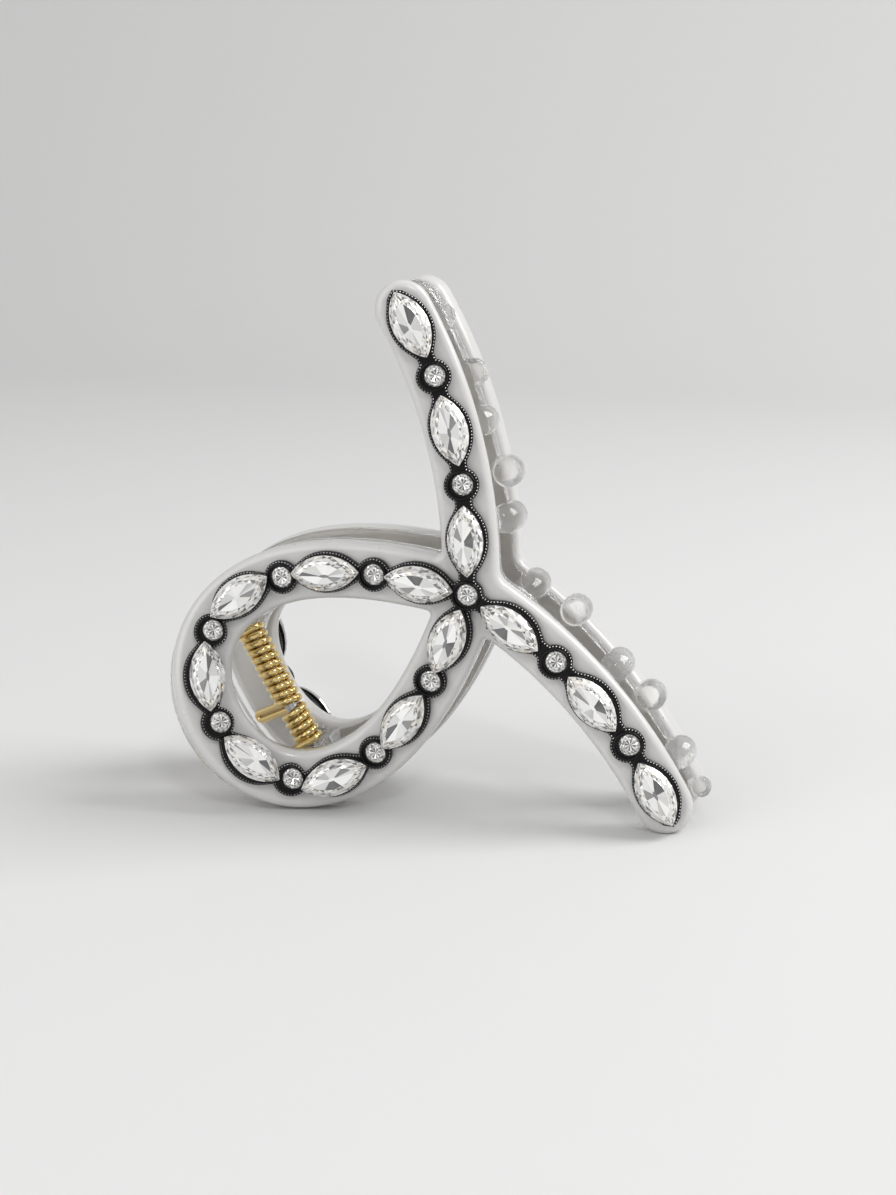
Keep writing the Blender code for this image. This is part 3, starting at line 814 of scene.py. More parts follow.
# The milgrain beads are black enamel; this bright metal colour, wandering at random to dark from bead to
# bead, paints glints on them.
MILGRAIN_GLINTS = Finish(
    "milgrain_painted_glints",
    colour=(0.80, 0.79, 0.78),
    deep=(0.10, 0.10, 0.10),
    gloss=0.16,
    swing=0.12,
    scale=1400.0,
    metallic=0.7,
)
CLEAR = Finish(
    "clear_plastic",
    colour=(0.985, 0.985, 0.975),
    deep=(0.95, 0.95, 0.94),
    gloss=0.02,
    swing=0.06,
    scale=150.0,
    coat=0.8,
    transmission=0.94,
    ior=1.42,
    relief=0.2 * MM,
    alpha=0.82,
)
BRASS = Finish(
    "brass_wire",
    colour=(0.86, 0.67, 0.31),
    deep=(0.70, 0.51, 0.21),
    gloss=0.10,
    swing=0.12,
    scale=500.0,
    metallic=1.0,
)
STEEL = Finish(
    "steel_pin",
    colour=(0.58, 0.57, 0.55),
    deep=(0.48, 0.47, 0.46),
    gloss=0.22,
    swing=0.14,
    scale=700.0,
    metallic=1.0,
)
PAPER = Finish(
    "studio_paper",
    colour=(0.66, 0.66, 0.658),
    deep=(0.6501, 0.6501, 0.64813),
    gloss=0.6,
    swing=0.1,
    scale=3.0,
)
CRYSTAL = CrystalFinish()


# Shared mesh work


def linked(name: str, data: bpy.types.ID) -> bpy.types.Object:
    """Return a new object in the scene that holds some data."""
    thing = bpy.data.objects.new(name, data)
    bpy.context.scene.collection.objects.link(thing)
    return thing


def to_object(
    work: bmesh.types.BMesh,
    name: str,
    finishes: Sequence[Finish | CrystalFinish],
    matrix: Matrix | None = None,
    smooth: bool = True,
    sharp: float = math.radians(40),
) -> bpy.types.Object:
    """Turn a bmesh into a linked object at the origin.

    Args:
        work: The mesh, which is freed.
        name: Name of the object.
        finishes: Its finishes, in slot order.
        matrix: Matrix applied to the mesh, which is then flattened where it would pass the table.
        smooth: Whether its faces are shaded smooth.
        sharp: Angle past which an edge stays sharp.

    Returns:
        The new object.
    """
    mesh = bpy.data.meshes.new(name)
    if matrix is not None:
        bmesh.ops.transform(work, matrix=matrix, verts=work.verts)
        for vertex in work.verts:
            vertex.co.z = max(vertex.co.z, 0.0)
    for face in work.faces:
        face.smooth = smooth
    work.to_mesh(mesh)
    work.free()
    for finish in finishes:
        mesh.materials.append(finish.material())
    if smooth:
        mesh.set_sharp_from_angle(angle=sharp)
    return linked(name, mesh)


def helper(work: bmesh.types.BMesh) -> bpy.types.Object:
    """Make a helper object.

    Args:
        work: Its shape, which is freed.

    Returns:
        The object.
    """
    mesh = bpy.data.meshes.new("helper")
    work.to_mesh(mesh)
    work.free()
    return linked("helper", mesh)


def evaluated(thing: bpy.types.Object) -> bmesh.types.BMesh:
    """Read the shape that an object has with its modifiers.

    Args:
        thing: The object.

    Returns:
        Its shape.
    """
    graph = bpy.context.evaluated_depsgraph_get()
    mesh = bpy.data.meshes.new_from_object(thing.evaluated_get(graph))
    work = bmesh.new()
    work.from_mesh(mesh)
    bpy.data.meshes.remove(mesh)
    return work


def even_normals(thing: bpy.types.Object) -> None:
    """Let the large faces of a piece set its shading."""
    modifier = thing.modifiers.new("even_normals", "WEIGHTED_NORMAL")
    modifier.mode = "FACE_AREA"
    modifier.keep_sharp = True


def flat_face(work: bmesh.types.BMesh, outline: Sequence[Vector], level: float = 0.0) -> bmesh.types.BMFace:
    """Add one flat face with an outline at a level and return it."""
    return work.faces.new([work.verts.new((point.x, point.y, level)) for point in outline])


def lift_faces(work: bmesh.types.BMesh, height: float) -> None:
    """Extrude flat faces upwards to a closed plate.

    Args:
        work: The faces.
        height: Thickness of the plate.
    """
    made = bmesh.ops.extrude_face_region(work, geom=work.faces[:])["geom"]
    lifted = [part for part in made if isinstance(part, bmesh.types.BMVert)]
    bmesh.ops.translate(work, verts=lifted, vec=(0.0, 0.0, height))
    bmesh.ops.recalc_face_normals(work, faces=work.faces)


def rim_edges(work: bmesh.types.BMesh, angle: float = RIM_ANGLE) -> list[bmesh.types.BMEdge]:
    """Return the edges whose two faces turn by more than an angle."""
    return [edge for edge in work.edges if edge.calc_face_angle(0.0) > angle]


def round_off(
    work: bmesh.types.BMesh,
    parts: Sequence[bmesh.types.BMEdge | bmesh.types.BMVert],
    size: float,
    segments: int,
    affect: str = "EDGES",
    clamp: bool = False,
) -> None:
    """Round edges, or corners of flat faces.

    Args:
        work: The mesh.
        parts: The edges or the corners.
        size: How far the rounding reaches.
        segments: Steps of the rounding.
        affect: EDGES, or VERTICES for corners.
        clamp: Whether roundings that would meet are held back.
    """
    bmesh.ops.bevel(
        work,
        geom=list(parts),
        offset=size,
        offset_type="OFFSET",
        segments=segments,
        profile=0.5,
        affect=affect,
        clamp_overlap=clamp,
        material=-1,
    )


def ring_plate(
    outer: Sequence[Vector], hole: Sequence[Vector], cut_outer: int, cut_hole: int, level: float
) -> tuple[bmesh.types.BMesh, list[bmesh.types.BMVert], list[bmesh.types.BMVert]]:
    """Make a flat ring from the upper halves of its edges, as two faces with no hole in either.

    Args:
        outer: Upper half of the outer edge, from the front to the handle end.
        hole: Upper half of the hole's edge, in the same order.
        cut_outer: Index in outer where the two faces part.
        cut_hole: Index in hole where they part.
        level: Height of the faces.

    Returns:
        The bmesh and its vertices on the outer edge and on the hole's edge.
    """
    work = bmesh.new()
    rim = [work.verts.new((point.x, point.y, level)) for point in mirrored(outer)]
    eye = [work.verts.new((point.x, point.y, level)) for point in mirrored(hole)]
    end, eye_end = len(outer) - 1, len(hole) - 1
    work.faces.new(rim[cut_outer : end + 1] + eye[cut_hole : eye_end + 1][::-1])
    work.faces.new(rim[end:] + rim[: cut_outer + 1] + eye[: cut_hole + 1][::-1] + eye[eye_end:][::-1])
    bmesh.ops.recalc_face_normals(work, faces=work.faces)
    return work, rim, eye


def raise_plate(work: bmesh.types.BMesh, height: float, rim: float, segments: int) -> None:
    """Raise flat faces to a plate and round its rims.

    Args:
        work: The flat faces.
        height: Thickness of the plate.
        rim: How far the rounding of its rims reaches.
        segments: Steps of the rounding.
    """
    lift_faces(work, height)
    rims = []
    for edge in rim_edges(work):
        if abs(edge.verts[0].co.z - edge.verts[1].co.z) < MERGE:
            rims.append(edge)
    round_off(work, rims, rim, segments)


@dataclass(frozen=True)
class RibbonPlate:
    """A flat plate in the ribbon's outline, with its inner corners and its rims rounded.

    Attributes:
        half_width: Half of the band's width.
        bottom: Height of the plate's lower face.
        thickness: Its thickness.
        corner: How far the rounding of its inner corners reaches.
        corner_segments: Steps of that rounding.
        rim: How far the rounding of its rims reaches.
        rim_segments: Steps of that rounding.
    """

    half_width: float
    bottom: float
    thickness: float
    corner: float
    rim: float
    rim_segments: int
    corner_segments: int = 5

    def build(self) -> bmesh.types.BMesh:
        """Build the plate, still flat."""
        outer, hole, notch, middle = RIBBON.band_lines(self.half_width)
        work, rim, eye = ring_plate(outer, hole, middle, len(hole) // 2, self.bottom)
        corners = [rim[0], rim[notch], rim[len(rim) - notch], eye[0]]
        round_off(work, corners, self.corner, self.corner_segments, affect="VERTICES")
        raise_plate(work, self.thickness, self.rim, self.rim_segments)
        return work


def bend(work: bmesh.types.BMesh) -> None:
    """Cut a flat mesh across the jaw at even steps and bend it along the side profile.

    Args:
        work: The mesh.
    """
    low = min(v.co.x for v in work.verts)
    high = max(v.co.x for v in work.verts)
    cuts = []
    at = -RIBBON.flare_start
    while at > low:
        cuts.append(at)
        at -= RIBBON.bend_step
    at = RIBBON.claw_start
    while at < high:
        cuts.append(at)
        at += RIBBON.bend_step
    for cut in cuts:
        parts = work.verts[:] + work.edges[:] + work.faces[:]
        bmesh.ops.bisect_plane(work, geom=parts, dist=MERGE, plane_co=(cut, 0, 0), plane_no=(1, 0, 0))
    bmesh.ops.triangulate(work, faces=[f for f in work.faces if len(f.verts) > 4])
    for vertex in work.verts:
        vertex.co = RIBBON.bent(*vertex.co)


def joined(parts: Sequence[bmesh.types.BMesh]) -> bmesh.types.BMesh:
    """Put several meshes in the first of them and free the rest.

    Args:
        parts: The meshes.

    Returns:
        The first mesh.
    """
    first = parts[0]
    for part in parts[1:]:
        mesh = bpy.data.meshes.new("part")
        part.to_mesh(mesh)
        part.free()
        first.from_mesh(mesh)
        bpy.data.meshes.remove(mesh)
    return first


def tubes(lines: Sequence[Sequence[tuple[Vector, float]]], radius: float, level: int) -> bmesh.types.BMesh:
    """Make closed round tubes along lines.

    Args:
        lines: The points of each line, with the share of the radius that the tube has there.
        radius: Radius of the tubes.
        level: Level of their round sides.

    Returns:
        The welded tubes.
    """
    curve = bpy.data.curves.new("tubes", "CURVE")
    curve.dimensions = "3D"
    curve.bevel_depth = radius
    curve.bevel_resolution = level
    curve.use_fill_caps = True
    for line in lines:
        spline = curve.splines.new("POLY")
        spline.points.add(len(line) - 1)
        for point, (place, share) in zip(spline.points, line):
            point.co = (*place, 1.0)
            point.radius = share
    holder = linked("tubes", curve)
    work = evaluated(holder)
    bpy.data.objects.remove(holder, do_unlink=True)
    bpy.data.curves.remove(curve)
    bmesh.ops.remove_doubles(work, verts=work.verts, dist=MERGE)
    bmesh.ops.recalc_face_normals(work, faces=work.faces)
    return work


# Sub-assemblies


@dataclass
class Cover:
    """The pale ribbon plate on a jaw's outer side; its back faces, turned to the jaw's inside, take a darker,
    warmer copy of the resin as painted shade.
    """

    side: Side
    stand: Stand
    trim: float = 0.04 * MM
    rim: float = 1.15 * MM
    rim_segments: int = 6
    corner: float = 1.3 * MM
    back_slope: float = -0.9

    def build(self) -> bpy.types.Object:
        """Build the cover and let it stand for its solid."""
        half = RIBBON.band_half - self.trim
        plate = RibbonPlate(half, -LAYERS.cover, LAYERS.cover, self.corner, self.rim, self.rim_segments)
        work = plate.build()
        for face in work.faces:
            # Faces turned to the jaw's inside take the painted-shade copy of the resin.
            face.material_index = int(face.normal.z < self.back_slope)
        bend(work)
        name = f"{self.side.value}_cover"
        thing = to_object(work, f"{name}_shell", [RESIN, RESIN_BACK_SHADE], self.stand.matrix(self.side))
        even_normals(thing)
        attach(thing, self.side.body)
        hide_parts(name)
        return thing


@dataclass
class Setting:
    """The black strip that carries a jaw's crystals, with cups, collars and a beaded edge."""

    side: Side
    stand: Stand
    neck: float = 2.4 * MM
    cup_margin: float = 0.45 * MM
    cup_share: float = 0.86
    edge_steps: int = 12
    strip_drop: float = 0.35 * MM
    edge: float = 0.22 * MM
    edge_segments: int = 3
    holder_sink: float = 0.12 * MM
    riser_margin: float = 0.05 * MM
    riser_steps: int = 14
    riser_rim: float = 0.088 * MM
    riser_segments: int = 2
    collar_margin: float = 0.85 * MM
    collar_inset: float = 0.36 * MM
    collar_sides: int = 32
    collar_rim: float = 0.18 * MM
    collar_segments: int = 3
    collar_land: float = 0.14 * MM
    collar_slope: float = 0.06 * MM
    collar_height: float = 0.60 * MM
    collar_depth: float = 0.45 * MM
    bead_radius: float = 0.12 * MM
    bead_pitch: float = 0.44 * MM
    bead_inset: float = 0.20 * MM
    bead_lift: float = 0.012 * MM

    @property
    def top(self) -> float:
        """Height of the strip's face over the cover's."""
        return LAYERS.strip_top - self.strip_drop

    @property
    def collar_radius(self) -> float:
        """Outer radius of the strip round a round crystal."""
        return STONES.chaton_diameter / 2 + self.collar_margin

    @property
    def cup_length(self) -> float:
        """Half of the length of the strip round a pointed crystal."""
        return STONES.navette_length / 2 + self.cup_margin

    def branch(self, count: int, pitch: float, total: float) -> list[tuple[float, float]]:
        """Draw the scalloped edge of one branch of the strip.

        Args:
            count: Crystals on the branch.
            pitch: Distance between them.
            total: Length of the branch.

        Returns:
            Distances along the branch, with the strip's half width at each.
        """
        length = self.cup_length
        width = STONES.navette_width / 2 + self.cup_margin
        neck = self.neck / 2
        leave = math.sqrt(self.collar_radius**2 - neck**2)
        line = [(leave, neck)]
        for station in range(1, count + 1):
            middle = station * pitch
            if station % 2:
                for x in spread(-length * self.cup_share, length * self.cup_share, self.edge_steps):
                    line.append((middle + x, max(neck, lens_half_width(x, length, width))))
            else:
                for turn in spread(math.pi, 0.0, self.edge_steps):
                    x = leave * math.cos(turn)
                    if middle + x <= total + MERGE:
                        line.append((middle + x, math.sqrt(self.collar_radius**2 - x**2)))
        return sorted(line)

    def lines(self) -> tuple[list[Vector], list[Vector], int, int]:
        """Return the strip's upper half edges and where the ring's two faces part."""
        arm = self.branch(RIBBON.arm_stones, RIBBON.arm_stone_pitch, RIBBON.arm_length + RIBBON.band_half)
        _, total = RIBBON.loop_turns_at([])
        loop = self.branch(RIBBON.loop_stones, total / RIBBON.loop_stones, total)
        turns, _ = RIBBON.loop_turns_at([d for d, _ in loop])
        end = RIBBON.arm_stones * RIBBON.arm_stone_pitch + self.cup_length
        outer = [Vector((self.collar_radius, 0.0))]
        outer += [RIBBON.arm_edge(d, w) for d, w in arm]
        outer += [RIBBON.arm_edge(end, 0.0)]
        outer += [RIBBON.arm_edge(d, -w) for d, w in reversed(arm)]
        first = len(outer)
        outer += [RIBBON.loop_edge(turn, w) for turn, (_, w) in zip(turns, loop)]
        hole = [Vector((-self.collar_radius, 0.0))]
        hole += [RIBBON.loop_edge(turn, -w) for turn, (_, w) in zip(turns, loop)]
        outer[-1].y = 0.0
        hole[-1].y = 0.0
        half = len(loop) // 2
        return outer, hole, first + half, 1 + half

    def riser(self, height: float) -> bmesh.types.BMesh:
        """Make the low wall that carries a pointed crystal.

        Args:
            height: Height of the wall.

        Returns:
            The wall, standing on height 0.
        """
        length = STONES.navette_length / 2 + self.riser_margin
        width = STONES.navette_width / 2 + self.riser_margin
        work = bmesh.new()
        flat_face(work, lens_outline(length, width, self.riser_steps))
        raise_plate(work, height, self.riser_rim, self.riser_segments)
        return work

    def collar(self) -> bmesh.types.BMesh:
        """Return the round dish of a round crystal, with a rounded rim, standing on height 0."""
        work = bmesh.new()
        flat_face(work, round_outline(self.collar_radius - self.collar_inset, self.collar_sides))
        raise_plate(work, self.collar_height, self.collar_rim, self.collar_segments)
        top = max(work.faces, key=lambda f: (round(f.calc_center_median().z / MERGE), f.calc_area()))
        bmesh.ops.inset_region(work, faces=[top], thickness=self.collar_land, depth=0.0)
        bmesh.ops.inset_region(work, faces=[top], thickness=self.collar_slope, depth=-self.collar_depth)
        return work

    def holder(self, seat: Seat) -> bmesh.types.BMesh:
        """Make the riser or the collar of one crystal.

        Args:
            seat: Where the crystal sits.

        Returns:
            The riser or collar, in its place on the jaw.
        """
        base = self.top - self.holder_sink
        if seat.cut is Cut.NAVETTE:
            piece = self.riser(Crystal(self.side, self.stand, seat).base_height() - base)
        else:
            piece = self.collar()
        matrix = RIBBON.seat_matrix(seat.along, seat.across, base, seat.turn)
        bmesh.ops.transform(piece, matrix=matrix, verts=piece.verts)
        return piece

    def beads(self, outline: Sequence[Vector]) -> bmesh.types.BMesh:
        """Make the row of small beads along one closed edge of the strip.

        Args:
            outline: The edge, in the flat.

        Returns:
            The beads, in their places on the jaw.
        """
        work = bmesh.new()
        carry = 0.0
        for a, b in zip(outline, list(outline[1:]) + [outline[0]]):
            length = (b - a).length
            while carry < length:
                place = a.lerp(b, carry / length)
                centre = Matrix.Translation(RIBBON.bent(place.x, place.y, self.top + self.bead_lift))
                bmesh.ops.create_icosphere(work, subdivisions=1, radius=self.bead_radius, matrix=centre)
                carry += self.bead_pitch
            carry -= length
        return work

    def build(self) -> bpy.types.Object:
        """Build the setting and let it stand for its solid."""
        outer, hole, cut_outer, cut_hole = self.lines()
        strip, _, _ = ring_plate(outer, hole, cut_outer, cut_hole, LAYERS.gap)
        raise_plate(strip, self.top - LAYERS.gap, self.edge, self.edge_segments)
        bend(strip)
        work = joined([strip] + [self.holder(seat) for seat in RIBBON.seats()])
        enamelled = len(work.faces)
        inner = replace(
            self,
            cup_margin=self.cup_margin - self.bead_inset,
            collar_margin=self.collar_margin - self.bead_inset,
            neck=self.neck - 2 * self.bead_inset,
        )
        work = joined([work] + [self.beads(mirrored(line)) for line in inner.lines()[:2]])
        work.faces.ensure_lookup_table()
        # The beads take the finish whose bright colour paints glints on them.
        for face in work.faces[enamelled:]:
            face.material_index = 1
        name = f"{self.side.value}_setting"
        thing = to_object(work, f"{name}_strip", [ENAMEL, MILGRAIN_GLINTS], self.stand.matrix(self.side))
        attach(thing, self.side.body)
        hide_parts(name)
        return thing


@dataclass
class Crystal:
    """One foil-backed crystal, cut with rings of small facets round a star of large ones; each facet's tone
    and warmth paint the reflection of its foil.

    Attributes:
        side: The jaw that it is on.
        stand: How the claw stands.
        seat: Where it sits on the ribbon.
        chaton_slack: How far along the jaw a round crystal sits off its solid's middle.
        navette_slack: The same for a pointed crystal on the jaw's lower side.
        handle_slack: The same for a crystal at the handle end.
        handle_from: Place along the jaw where the handle end starts.
        rest_steps: Steps of the outline that is laid on the strip to find how high a crystal sits.
        navette_steps: Steps along each arc of a pointed crystal's outline.
        chaton_sides: Sides of a round crystal.
        navette_rings: Shares of the length and width, and rise as a share of the height, of each ring.
        chaton_rings: The same for a round crystal.
        facet_lifts: Lift of the facets' middles on even and on odd rings, as shares of the height.
        girdle_tone: Painted reflection tone of the lowest ring.
        dark_tone: Least painted reflection tone of a dark facet, and how far it varies.
        bright_tone: Least painted reflection tone of a bright facet, and how far it varies.
        navette_dark: Share of facets with a dark painted reflection at a pointed crystal's middle, and what
            its tips add.
        chaton_dark: Share of facets with a dark painted reflection on a round crystal.
        facet_warmth: Draw above which a facet's painted reflection is warm, how fast it warms, and its share
            at the middle.
        table_size: Shares of the length and width of the small face on top.
        table_rise: Its rise, as a share of the height.
        table_aside: How far it wanders along and across.
        table_tones: Its bright painted reflection tone, its dark one and the share of bright ones.
        chaton_dip: Depth of a round crystal's middle, as a share of the height.
        star_spread: How far the painted reflection tone of a large facet varies.
        star_warmth: Draw above which a large facet's painted reflection is warm.
        navette_star: Painted reflection tones of the large facets round a pointed crystal.
        chaton_star: Painted reflection tones of the large facets round a round crystal.
    """

    side: Side
    stand: Stand
    seat: Seat
    chaton_slack: float = 0.32 * MM
    navette_slack: float = -0.24 * MM
    handle_slack: float = 0.5 * MM
    handle_from: float = -30.0 * MM
    rest_steps: int = 4
    navette_steps: int = 12
    chaton_sides: int = 16
    navette_rings: Shares = ((1.0, 1.0, 0.20), (0.91, 0.85, 0.30), (0.81, 0.70, 0.22), (0.66, 0.54, 0.14))
    chaton_rings: Shares = ((1.0, 1.0, 0.50), (0.84, 0.84, 0.14), (0.68, 0.68, 0.08), (0.50, 0.50, 0.04))
    facet_lifts: tuple[float, float] = (-0.03, 0.035)
    girdle_tone: float = 0.5
    dark_tone: tuple[float, float] = (0.12, 0.25)
    bright_tone: tuple[float, float] = (0.46, 0.54)
    navette_dark: tuple[float, float] = (0.12, 0.22)
    chaton_dark: float = 0.34
    facet_warmth: tuple[float, float, float] = (0.55, 1.6, 0.4)
    table_size: tuple[float, float] = (0.24, 0.16)
    table_rise: float = 0.05
    table_aside: tuple[float, float] = (0.9 * MM, 0.5 * MM)
    table_tones: tuple[float, float, float] = (0.95, 0.2, 0.6)
    chaton_dip: float = 0.14
    star_spread: float = 0.04
    star_warmth: float = 0.7
    navette_star: tuple[float, ...] = (
        0.98, 0.98, 0.98, 0.98, 0.74, 0.74, 0.74, 0.13, 0.13, 0.1, 1.0, 1.0,
        1.0, 1.0, 0.84, 0.84, 0.84, 0.32, 0.3, 0.9, 0.9, 0.9, 0.66, 0.6,
    )
    chaton_star: tuple[float, ...] = (0.95, 0.12, 0.55, 0.08, 0.9, 0.3, 0.7, 0.16)

    @property
    def pointed(self) -> bool:
        """Whether the crystal is a pointed oval."""
        return self.seat.cut is Cut.NAVETTE

    @property
    def height(self) -> float:
        """Height of the crystal."""
        return STONES.navette_height if self.pointed else STONES.chaton_height

    @property
    def slack(self) -> float:
        """How far along the jaw the crystal sits off its solid's middle."""
        if self.seat.along < self.handle_from:
            return self.handle_slack
        if not self.pointed:
            return self.chaton_slack
        return self.navette_slack if self.seat.across < 0 else 0.0

    def sparkle(self, chance: random.Random, end: float) -> float:
        """Return the painted reflection tone of a small facet: now and then dark, else between grey and
        white.

        Args:
            chance: Source of the draws.
            end: How near the facet is to a pointed crystal's tip, from 0 to 1.

        Returns:
            The tone, from 0 to 1.
        """
        dark_share = self.chaton_dark
        if self.pointed:
            dark_share = self.navette_dark[0] + self.navette_dark[1] * end
        if chance.random() < dark_share:
            return self.dark_tone[0] + self.dark_tone[1] * chance.random()
        return self.bright_tone[0] + self.bright_tone[1] * math.sqrt(chance.random())

    def base_height(self) -> float:
        """Return the height of the crystal's back over the cover's face."""
        if not self.pointed:
            return LAYERS.gap + LAYERS.seat
        outline = lens_outline(STONES.navette_length / 2, STONES.navette_width / 2, self.rest_steps)
        seat = self.seat
        to_stone = RIBBON.seat_matrix(seat.along, seat.across, LAYERS.strip_top, seat.turn).inverted()
        rotate = Matrix.Rotation(seat.turn, 2)
        lifts = [0.0]
        for point in outline:
            flat = rotate @ point
            on_strip = RIBBON.bent(seat.along + flat.x, seat.across + flat.y, LAYERS.strip_top)
            lifts.append((to_stone @ on_strip).z)
        return LAYERS.strip_top + LAYERS.seat + max(lifts)

    @staticmethod
    def raise_ring(
        work: bmesh.types.BMesh, face: bmesh.types.BMFace, scale: tuple[float, float], rise: float
    ) -> tuple[bmesh.types.BMFace, list[bmesh.types.BMFace]]:
        """Raise a face to a smaller copy of itself.

        Args:
            work: The crystal's mesh.
            face: The face.
            scale: Size of the copy along and across, as shares of the face's.
            rise: Height of the copy over the face.

        Returns:
            The copy and the ring of faces below it.
        """
        before = set(work.faces)
        top = bmesh.ops.extrude_discrete_faces(work, faces=[face])["faces"][0]
        bmesh.ops.scale(work, vec=(*scale, 1.0), verts=top.verts[:])
        bmesh.ops.translate(work, vec=(0.0, 0.0, rise), verts=top.verts[:])
        return top, [f for f in work.faces if f not in before and f is not top]

    def cut_rings(self, work: bmesh.types.BMesh, chance: random.Random) -> bmesh.types.BMFace:
        """Cut the rings of small facets, each with a painted reflection tone and warmth.

        Args:
            work: The crystal's mesh, still empty.
            chance: Source of the draws.

        Returns:
            The face that is left on top.
        """
        half_length = STONES.navette_length / 2
        outline = round_outline(STONES.chaton_diameter / 2, self.chaton_sides)
        rings = self.chaton_rings
        if self.pointed:
            outline = lens_outline(half_length, STONES.navette_width / 2, self.navette_steps)
            rings = self.navette_rings
        tone = work.faces.layers.float[REFLECTION_TONE]
        warmth = work.faces.layers.float[REFLECTION_WARMTH]
        face = flat_face(work, outline).copy(verts=False, edges=False)
        done = (1.0, 1.0)
        bands = []
        for sx, sy, rise in rings:
            face, band = self.raise_ring(work, face, (sx / done[0], sy / done[1]), rise * self.height)
            done = (sx, sy)
            bands.append(band)
        # The girdle facets get one even painted reflection tone.
        for part in bands[0]:
            part[tone] = self.girdle_tone
        warm_from, warming, at_middle = self.facet_warmth
        for index, band in enumerate(bands[1:], 1):
            lift = self.facet_lifts[index % 2] * self.height
            # Each small facet gets a painted reflection: dark now and then, else grey to white, and at random
            # a warm tint.
            for facet in bmesh.ops.poke(work, faces=band, offset=lift, center_mode="MEAN")["faces"]:
                end = abs(facet.calc_center_median().x) / half_length
                facet[tone] = self.sparkle(chance, end)
                facet[warmth] = max(0.0, chance.random() - warm_from) * warming * (at_middle + end)
        return face

    def cut_star(self, work: bmesh.types.BMesh, face: bmesh.types.BMFace, chance: random.Random) -> None:
        """Cut the star of large facets, each with a painted reflection tone and warmth.

        Args:
            work: The crystal's mesh.
            face: The face on top.
            chance: Source of the draws.
        """
        tone = work.faces.layers.float[REFLECTION_TONE]
        warmth = work.faces.layers.float[REFLECTION_WARMTH]
        if self.pointed:
            face, star = self.raise_ring(work, face, self.table_size, self.table_rise * self.height)
            aside = [reach * (chance.random() - 0.5) for reach in self.table_aside]
            bmesh.ops.translate(work, vec=(*aside, 0.0), verts=face.verts[:])
            # The table gets a bright or a dark painted reflection.
            bright, dark, share = self.table_tones
            face[tone] = bright if chance.random() < share else dark
        else:
            star = bmesh.ops.poke(work, faces=[face], offset=-self.chaton_dip * self.height)["faces"]
        star.sort(key=lambda f: math.atan2(f.calc_center_median().y, f.calc_center_median().x))
        pattern = self.navette_star if self.pointed else self.chaton_star
        start = chance.randrange(len(pattern))
        # Each large facet gets a painted reflection tone from the star's pattern, and at random a warm tint.
        for index, facet in enumerate(star):
            facet[tone] = pattern[(index + start) % len(pattern)] - self.star_spread * chance.random()
            facet[warmth] = max(0.0, chance.random() - self.star_warmth)

    def build(self, chance: random.Random) -> bpy.types.Object:
        """Build the crystal and let it stand for its solid.

        Args:
            chance: Source of the small differences between crystals.

        Returns:
            The crystal.
        """
        work = bmesh.new()
        for layer in (REFLECTION_TONE, REFLECTION_WARMTH):
            work.faces.layers.float.new(layer)
        self.cut_star(work, self.cut_rings(work, chance), chance)
        bmesh.ops.recalc_face_normals(work, faces=work.faces)
        seat = self.seat
        place = RIBBON.seat_matrix(seat.along + self.slack, seat.across, self.base_height(), seat.turn)
        name = self.side.node(seat.name)
        matrix = self.stand.matrix(self.side) @ place
        thing = to_object(work, f"{name}_cut", [CRYSTAL], matrix, smooth=False)
        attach(thing, self.side.body)
        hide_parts(name)
        return thing


@dataclass(frozen=True)
class HingeStack:
    """Where the hinge's pieces lie along the pin, from the spring outwards."""

    spring_half: float
    lug: float = 2.1 * MM
    clearance: float = 0.3 * MM

    def lug_level(self, side: Side) -> float:
        """Return how far the middles of a jaw's lugs are from the pin's middle."""
        inner = self.spring_half + self.clearance + self.lug / 2
        return inner + self.lug + self.clearance if side is Side.FRONT else inner

    @property
    def pin_half(self) -> float:
        """Half of the pin's length between its heads."""
        return self.spring_half + 3 * self.clearance + 2 * self.lug


